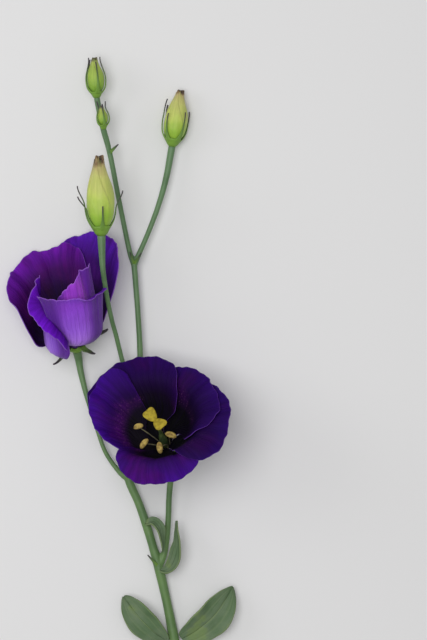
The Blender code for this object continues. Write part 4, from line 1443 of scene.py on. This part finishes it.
@dataclass(frozen=True)
class Bud:
    """One closed bud: rolled petals in a small calyx."""

    name: str
    seat: Place
    axis: Place
    length: float
    radius: float
    sepals: tuple[Place, ...]  # each one's direction, the share of the bud that it reaches, its tip's spread
    skin: BudFinish = BUD_SKIN
    floor: float = 1.4
    foot: float = 1.6  # radius of the calyx where it meets the stalk
    cup: float = 0.09  # how far up the calyx is closed round the bud, as a share of its length
    lap: float = 0.10  # depth of a spiral lap, as a share of the radius
    lap_end: float = 0.93  # where in a lap it drops to the next one
    twist: float = 1.6  # how many laps it winds from foot to tip
    blur: float = 0.04  # how far the outline is softened, as a share of the length
    ragged: tuple[Place, ...] = ((0.035, 3.0, 1.0), (0.025, 11.0, 0.0))  # waves in the tip's edge
    sides: int = 110
    rings: int = 90
    sepal_rows: int = 26
    sepal_columns: int = 4
    cup_sides: int = 40
    sepal_thickness: float = 0.5
    outline: tuple[Span, ...] = (
        (0.0, 0.3), (0.09, 0.64), (0.2, 0.92), (0.33, 1.0), (0.46, 1.0), (0.6, 0.89), (0.72, 0.71),
        (0.85, 0.49), (0.95, 0.36), (1.0, 0.31),
    )

    def width(self, share: Array | float) -> Array:
        """The bud's radius at a share of its length, as a share of its greatest radius."""
        places, values = zip(*self.outline)
        near = [np.clip(share + step, 0.0, 1.0) for step in (-self.blur, 0.0, self.blur)]
        return np.array([np.interp(place, places, values) for place in near]).mean(0)

    def skin_points(self, along: Array, across: Array) -> Array:
        """Points of the rolled petals: five laps that wind up to a ragged blunt tip.

        Args:
            along: 0 to 1 from foot to tip.
            across: -1 to 1 once round the bud.

        Returns:
            An array of points, upright, in millimetres.
        """
        azimuth = np.pi * across
        lap = (azimuth / math.tau * PETALS + self.twist * along) % 1.0
        step = blend(0.0, self.lap_end, lap) - blend(self.lap_end, 1.0, lap)
        depth = self.lap * blend(0.18, 0.55, along)
        ragged = waves(azimuth, self.ragged) * blend(0.9, 1.0, along)
        radius = self.width(along) * self.radius * (1.0 + depth * (step - 0.5))
        tip = blend(0.985, 1.0, along)
        height = self.floor + SEAT_GAP + self.length * (along + ragged - 0.03 * tip)
        return round_axis(radius * (1.0 - 0.96 * tip), azimuth, height)

    def build_petals(self) -> None:
        """Makes the rolled petals and dresses them."""
        mesh = bmesh.new()
        verts = add_blade(mesh, self.skin_points, self.rings, self.sides)
        bmesh.ops.remove_doubles(mesh, verts=verts, dist=0.002)
        bmesh.ops.holes_fill(mesh, edges=mesh.edges, sides=0)
        bmesh.ops.recalc_face_normals(mesh, faces=mesh.faces)
        move(mesh, upright_to(self.seat, self.axis))
        press_flat(mesh)
        name = f"{self.name}_petals"
        place_piece(mesh, f"{name}_rolled", name, Slot.BUD, (self.skin,))

    def sepal_points(self, sepal: Place, along: Array, across: Array) -> Array:
        """Points of one narrow pointed sepal.

        Args:
            sepal: its direction, reach and spread.
            along: 0 to 1 from root to tip.
            across: -1 to 1 from edge to edge.

        Returns:
            An array of points, upright, in millimetres.
        """
        direction, reach, spread = sepal
        root = self.cup * 0.4
        share = root + along * (reach - root)
        stand = SEAT_GAP + 0.30 + 0.10 * blend(0.1, 0.4, along)
        swell = 1.0 + 0.03 * blend(0.3, 0.6, along)
        radius = self.width(np.clip(share, 0.0, 1.0)) * self.radius * swell + stand
        width = 0.4 + self.radius * (0.25 * (1.0 - along) ** 2 + 0.55 * (1.0 - along) ** 7)
        azimuth = math.radians(direction) + across * width / 2 / radius
        radius = radius + spread * blend(0.55, 1.05, along) + 0.15 * (1.0 - np.abs(across))
        return round_axis(radius, azimuth, self.floor + share * self.length)

    def build_calyx(self) -> None:
        """Makes the calyx and dresses it."""
        mesh = bmesh.new()
        sepals = [partial(self.sepal_points, sepal) for sepal in self.sepals]
        add_blades(mesh, sepals, self.sepal_rows, self.sepal_columns)
        wall = [
            (float(self.width(share)) * self.radius + SEAT_GAP + 0.35, self.floor + share * self.length)
            for share in np.linspace(0.0, self.cup, 5)
        ]
        add_turned(mesh, [(0.0, 0.0), (self.foot, 0.0), *wall], self.cup_sides)
        move(mesh, upright_to(self.seat, self.axis))
        press_flat(mesh, self.sepal_thickness / 2)
        name = f"{self.name}_calyx"
        thicken(place_piece(mesh, f"{name}_leafy", name, Slot.GREEN, (SEPAL_SKIN,)), self.sepal_thickness)

    def build(self) -> None:
        """Makes both pieces."""
        self.build_petals()
        self.build_calyx()


BUDS = (
    Bud(
        name="tall_bud", seat=(-39.4, 231.0, 37.0), foot=2.0, axis=(-0.03, 0.99, 0.06), length=39.0,
        radius=7.4,
        sepals=((15, 0.56, 4.6), (100, 0.6, 2.5), (172, 0.64, 5.0), (212, 0.5, 5.5), (280, 0.36, 0.5)),
    ),
    Bud(
        name="top_bud", seat=(-42.9, 305.6, 12.0), axis=(-0.06, 0.99, 0.06), length=19.0, radius=4.6,
        sepals=((5, 1.06, 0.7), (75, 0.98, 0.5), (150, 1.0, 0.4), (200, 1.05, 0.9), (285, 0.92, 0.2)),
        skin=YOUNG_BUD_SKIN,
    ),
    Bud(
        name="small_bud", seat=(-38.9, 288.4, 17.5), foot=1.2, axis=(-0.1, 0.98, 0.16), length=10.5,
        radius=2.8,
        sepals=((10, 1.25, 0.6), (80, 1.1, 0.4), (150, 1.2, 0.4), (215, 1.3, 0.8), (285, 1.15, 0.4)),
        skin=YOUNG_BUD_SKIN, sides=60, rings=50,
    ),
    Bud(
        name="resting_bud", seat=(-2.7, 279.8, 5.9), axis=(0.15, 0.99, 0.0), length=28.0, radius=6.2,
        sepals=((24, 0.66, 1.0), (138, 0.74, 2.6), (180, 0.84, 2.2), (232, 0.56, 0.4), (310, 0.62, 0.6)),
    ),
)


# ---------------------------------------------------------------- leaves


@dataclass(frozen=True)
class Leaf:
    """One leaf blade: its midrib's route, its width, and the way its upper face looks at root and tip."""

    name: str
    midrib: tuple[Place, ...]
    width: float
    root_face: Place
    tip_face: Place
    trough: float  # how far the edges stand above the midrib, as a share of the half width
    wave: float
    belly: float  # under 1 it is widest nearer the root, over 1 nearer the tip
    blunt: float  # the smaller, the rounder its ends
    foot: float = 0.24  # how wide it is at its root, as a share
    least: float = 0.06  # its least width, as a share
    buckle: float = 0.02  # height of its small buckles, as a share of the width
    groove: float = 0.35  # depth of the midrib's groove
    groove_width: float = 0.06
    rows: int = 90
    columns: int = 40
    thickness: float = 0.8

    def points(self, along: Array, across: Array) -> Array:
        """Points of the blade, with its midrib's groove and small buckles.

        Args:
            along: 0 to 1 from root to tip.
            across: -1 to 1 from edge to edge.

        Returns:
            An array of points in millimetres.
        """
        route = np.array([point[:] for point in smooth_route(self.midrib, 0.5)])
        places = np.concatenate([[0.0], np.cumsum(np.linalg.norm(np.diff(route, axis=0), axis=1))])
        places = places / places[-1]
        spine, ahead = (
            np.stack([np.interp(along, places, line[:, axis]) for axis in range(3)], -1)
            for line in (route, np.gradient(route, places, axis=0))
        )
        share = along[:, None]
        face = np.array(self.root_face) * (1.0 - share) + np.array(self.tip_face) * share
        round_end = np.sin(np.pi * np.clip(along, 0.0, 1.0) ** self.belly) ** self.blunt
        half = self.width / 2 * np.clip(self.foot * (1.0 - along) ** 3 + round_end, self.least, None)
        rise = self.trough * half * across**2
        rise = rise + self.wave * np.sin(9.0 * along + 2.0 * across) * np.abs(across)
        rise = rise + self.buckle * self.width * (np.sin(21.0 * along + 3.0 * across) * across**2)
        rise = rise - self.groove * np.exp(-((across / self.groove_width) ** 2))
        return over_line(spine, ahead, face, half * across, rise)

    def build(self) -> None:
        """Makes the leaf and dresses it."""
        mesh = bmesh.new()
        add_blade(mesh, self.points, self.rows, self.columns)
        bmesh.ops.recalc_face_normals(mesh, faces=mesh.faces)
        press_flat(mesh, self.thickness / 2)
        thicken(place_piece(mesh, f"{self.name}_blade", self.name, Slot.LEAF, (LEAF_SKIN,)), self.thickness)


LEAVES = (
    Leaf(
        name="low_left_leaf",
        midrib=((-5.6, 14.0, 4.0), (-13.0, 19.5, 7.0), (-21.0, 27.5, 8.0), (-28.5, 38.0, 6.0)),
        width=15.0, root_face=(-0.2, -0.3, 1.0), tip_face=(-0.1, 0.1, 1.0), trough=0.25, wave=0.8,
        belly=1.15, blunt=0.6,
    ),
    Leaf(
        name="low_right_leaf",
        midrib=((2.6, 15.0, 4.0), (11.0, 20.0, 7.5), (21.0, 29.0, 9.0), (30.0, 43.0, 5.5)), width=18.0,
        root_face=(0.2, -0.3, 1.0), tip_face=(0.3, 0.1, 1.0), trough=0.25, wave=1.0, belly=1.0,
        blunt=0.65,
    ),
    Leaf(
        name="middle_leaf",
        midrib=(
            (-8.8, 52.2, 7.0), (-5.2, 52.8, 8.8), (-1.6, 57.2, 10.8), (0.4, 66.4, 11.6),
            (-0.2, 78.8, 9.0),
        ),
        width=6.4, root_face=(0.2, 0.6, 1.0), tip_face=(-1.0, 0.0, 0.5), trough=0.45, wave=0.4, belly=0.8,
        blunt=0.75,
    ),
    Leaf(
        name="upper_leaf",
        midrib=(
            (-16.8, 77.3, 8.6), (-12.8, 78.8, 11.5), (-9.2, 75.5, 13.2), (-7.9, 69.0, 12.0),
            (-7.5, 62.2, 10.5),
        ),
        width=5.0, root_face=(0.0, 0.6, 1.0), tip_face=(1.0, 0.2, 0.8), trough=0.35, wave=0.3, belly=0.8,
        blunt=0.75,
    ),
)


# ---------------------------------------------------------------- the stem


@dataclass(frozen=True)
class Branch:
    """A stretch of stem: the points that it runs through and its radius at each."""

    knots: tuple[Place, ...]
    radii: tuple[float, ...]

    def widths(self, route: Sequence[Vector]) -> list[float]:
        """Reads the radius along a route through the knots.

        Args:
            route: points of the branch's middle line.

        Returns:
            The radius at each point, eased between the knots.
        """
        points = np.array([point[:] for point in route])
        marks = [int(np.argmin(np.linalg.norm(points - knot, axis=1))) for knot in np.array(self.knots)]
        padded = np.pad(np.interp(np.arange(len(points)), marks, self.radii), 2, mode="edge")
        return list(np.convolve(padded, np.full(5, 0.2), mode="valid"))


@dataclass(frozen=True)
class Bract:
    """A small scale leaf at a joint."""

    root: Place
    tip: Place
    half_width: float
    tip_width: float = 0.12
    arch: float = 0.9

    def points(self, along: Array, across: Array) -> Array:
        """Points of its curved narrow blade.

        Args:
            along: 0 to 1 from root to tip.
            across: -1 to 1 from edge to edge.

        Returns:
            An array of points in millimetres.
        """
        reach = np.array(self.tip) - np.array(self.root)
        half = self.half_width * (1.0 - along**1.6) + self.tip_width
        rise = self.arch * np.sin(np.pi * along) + 0.5 * half * across**2
        spine = np.array(self.root) + reach * along[:, None]
        return over_line(spine, reach, np.array((0.0, 0.0, 1.0)), half * across, rise)


@dataclass(frozen=True)
class Stem:
    """The green stem that forks to every flower, with the scale leaves at its joints."""

    branches: tuple[Branch, ...]
    bracts: tuple[Bract, ...]
    sides: int = 20
    step: float = 2.0
    grain: float = 0.42  # size of the skin's cells
    bract_rows: int = 16
    bract_columns: int = 6
    bract_thickness: float = 0.55

    def build_wood(self) -> None:
        """Makes the branches and grows them together into one skin."""
        mesh = bmesh.new()
        for branch in self.branches:
            route = smooth_route(branch.knots, self.step)
            add_tube(mesh, route, branch.widths(route), self.sides)
        press_flat(mesh)
        obj = place_piece(mesh, "stem_wood", "stem", Slot.GREEN, (STEM_SKIN,))
        skin = obj.modifiers.new("grown together", "REMESH")
        skin.mode = "VOXEL"
        skin.voxel_size = self.grain * MM
        skin.use_smooth_shade = True
        soft = obj.modifiers.new("soft forks", "SMOOTH")
        soft.factor = 0.5
        soft.iterations = 8

    def build_bracts(self) -> None:
        """Makes the scale leaves."""
        mesh = bmesh.new()
        add_blades(mesh, [bract.points for bract in self.bracts], self.bract_rows, self.bract_columns)
        obj = place_piece(mesh, "stem_bracts", "stem", Slot.GREEN, (SEPAL_SKIN,))
        thicken(obj, self.bract_thickness)

    def build(self) -> None:
        """Makes both pieces."""
        self.build_wood()
        self.build_bracts()


STEM = Stem(
    branches=(
        Branch(
            knots=(
                (0.0, -0.5, 2.6), (-0.5, 7.0, 2.6), (-1.7, 15.0, 2.9), (-5.4, 34.0, 3.3),
                (-9.9, 53.6, 4.0), (-13.4, 65.9, 4.4), (-16.6, 76.6, 4.8), (-20.6, 88.0, 5.2),
                (-26.0, 100.8, 5.6), (-25.6, 109.0, 5.8), (-22.8, 123.0, 6.0), (-20.6, 136.0, 6.2),
                (-19.8, 165.0, 6.4), (-21.0, 190.0, 6.6), (-23.0, 216.0, 7.0),
            ),
            radii=(2.5, 2.5, 2.9, 2.4, 2.7, 2.3, 2.45, 2.2, 2.3, 1.9, 1.8, 1.8, 1.6, 1.5, 1.6),
        ),
        Branch(
            knots=(
                (-9.9, 53.6, 4.0), (-6.6, 62.0, 4.8), (-4.9, 76.0, 6.0), (-4.2, 92.0, 7.6),
                (-3.0, 105.0, 9.4), (-3.0, 112.0, 12.8), (-4.6, 117.3, 19.0),
            ),
            radii=(2.2, 1.7, 1.6, 1.6, 1.8, 2.1, 2.7),
        ),
        Branch(
            knots=(
                (-26.0, 100.8, 5.6), (-31.6, 105.6, 6.0), (-38.6, 115.8, 6.4), (-43.6, 130.2, 6.6),
                (-48.2, 144.6, 6.2), (-51.4, 157.0, 5.6), (-52.8, 165.0, 6.0), (-53.6, 170.0, 8.95),
            ),
            radii=(2.0, 1.35, 1.2, 1.25, 1.4, 1.7, 2.0, 2.6),
        ),
        Branch(
            knots=(
                (-20.6, 136.0, 6.2), (-24.6, 151.0, 6.8), (-28.4, 161.5, 8.2), (-30.6, 170.0, 10.5),
                (-32.4, 178.0, 14.5), (-34.4, 186.0, 20.5), (-36.1, 195.0, 27.0), (-37.6, 205.0, 33.0),
                (-38.8, 215.0, 36.4), (-39.4, 231.0, 37.0),
            ),
            radii=(1.8, 1.4, 1.35, 1.3, 1.3, 1.3, 1.3, 1.3, 1.5, 2.3),
        ),
        Branch(
            knots=(
                (-23.0, 216.0, 7.0), (-25.4, 223.0, 7.8), (-28.4, 237.4, 9.2), (-31.6, 253.5, 10.4),
                (-36.0, 276.0, 11.2), (-39.8, 289.6, 11.6), (-42.9, 305.6, 12.0),
            ),
            radii=(1.7, 1.4, 1.4, 1.4, 1.5, 1.45, 1.7),
        ),
        Branch(
            knots=((-35.8, 275.2, 11.2), (-36.6, 281.0, 14.2), (-38.9, 288.4, 17.5)),
            radii=(1.2, 1.0, 1.4),
        ),
        Branch(
            knots=(
                (-23.0, 216.0, 7.0), (-20.2, 222.4, 7.1), (-15.2, 234.0, 7.0), (-10.0, 248.0, 6.6),
                (-5.8, 263.0, 6.1), (-2.7, 279.8, 5.9),
            ),
            radii=(1.7, 1.4, 1.4, 1.5, 1.7, 2.0),
        ),
    ),
    bracts=(
        Bract((-9.9, 54.0, 5.6), (-15.8, 60.4, 7.4), 0.6),
        Bract((-35.9, 276.0, 11.8), (-31.2, 280.4, 15.0), 0.7),
        Bract((-26.0, 101.4, 7.0), (-29.6, 108.8, 11.6), 0.7),
        Bract((-23.0, 216.6, 8.0), (-25.2, 223.0, 12.6), 0.5),
        Bract((-23.0, 216.6, 8.0), (-19.0, 222.4, 12.0), 0.5),
        Bract((-20.6, 137.0, 7.0), (-16.2, 143.4, 9.2), 0.6),
    ),
)


# ---------------------------------------------------------------- studio


@dataclass(frozen=True)
class Lamp:
    """A soft square light that looks at the middle of the plant."""

    name: str
    place: Place  # in metres, in the part's frame
    size: float
    power: float

    def build(self, target: Vector) -> None:
        """Hangs the lamp.

        Args:
            target: the point that it looks at.
        """
        data = bpy.data.lights.new(self.name, "AREA")
        data.size = self.size
        data.energy = self.power
        lamp = add_object(self.name, data)
        lamp.location = self.place
        lamp.rotation_euler = (target - lamp.location).to_track_quat("-Z", "Y").to_euler()


@dataclass(frozen=True)
class Studio:
    """A pale floor, soft light and a camera that looks straight down on the plant."""

    middle: Span = (19.6, 186.5)  # of the view, in the plant's own millimetres
    view_height: float = 0.343
    camera_height: float = 1.5
    aim_height: float = 0.01
    film: float = 36.0
    floor_colour: Colour = (0.74, 0.74, 0.745)
    floor_size: float = 6.0
    air: Colour = (1.0, 0.99, 0.98)
    air_power: float = 0.40
    lamps: tuple[Lamp, ...] = (
        Lamp("over", (-0.20, 0.10, 1.40), 0.9, 11.8),
        Lamp("side", (-0.85, 0.25, 0.55), 0.5, 1.4),
    )

    def aim(self) -> Vector:
        """The point that the camera and the lamps look at, in metres."""
        flat = (PLANT_ORIGIN + Vector((*self.middle, 0.0))) * MM
        return flat + Vector((0.0, 0.0, self.aim_height))

    def build_floor(self) -> None:
        """Lays the floor that the plant rests on."""
        mesh = bmesh.new()
        bmesh.ops.create_grid(mesh, x_segments=2, y_segments=2, size=self.floor_size / 2)
        material, graph, shader = new_material("floor paint")
        values = {"Base Color": self.floor_colour, "Roughness": 0.9, "Specular IOR Level": 0.1}
        for label, value in values.items():
            graph.feed(shader.inputs[label], value)
        floor = add_mesh_object("floor", mesh)
        floor.data.materials.append(material)

    def build_light(self) -> None:
        """Fills the air with even light and hangs the lamps."""
        world = bpy.data.worlds.new("air")
        world.use_nodes = True
        glow = world.node_tree.nodes["Background"]
        glow.inputs["Color"].default_value = (*self.air, 1.0)
        glow.inputs["Strength"].default_value = self.air_power
        bpy.context.scene.world = world
        target = self.aim()
        for lamp in self.lamps:
            lamp.build(target)

    def build_camera(self) -> None:
        """Sets the camera over the plant, with the plant's length upright in the picture."""
        data = bpy.data.cameras.new("overhead")
        data.sensor_fit = "VERTICAL"
        data.sensor_height = self.film
        data.sensor_width = self.film
        data.lens = self.film * self.camera_height / self.view_height
        camera = add_object("overhead", data)
        camera.location = self.aim() + Vector((0.0, 0.0, self.camera_height))
        bpy.context.scene.camera = camera

    def build(self) -> None:
        """Makes the floor, the light and the camera."""
        self.build_floor()
        self.build_light()
        self.build_camera()


def set_colours() -> None:
    """Shows colours as they are, with no film look."""
    bpy.context.scene.view_settings.view_transform = "Standard"


def main() -> None:
    """Builds the plant and its studio, in order."""
    logging.basicConfig(level=logging.INFO, format="%(name)s: %(message)s")
    STEM.build()
    for bell in (FRONT_BLOOM, SIDE_BLOOM):
        for piece in (Corolla, Calyx, Pistil, Stamens):
            piece(bell).build()
    for bud in BUDS:
        bud.build()
    for leaf in LEAVES:
        leaf.build()
    Studio().build()
    set_colours()


if __name__ == "__main__":
    main()
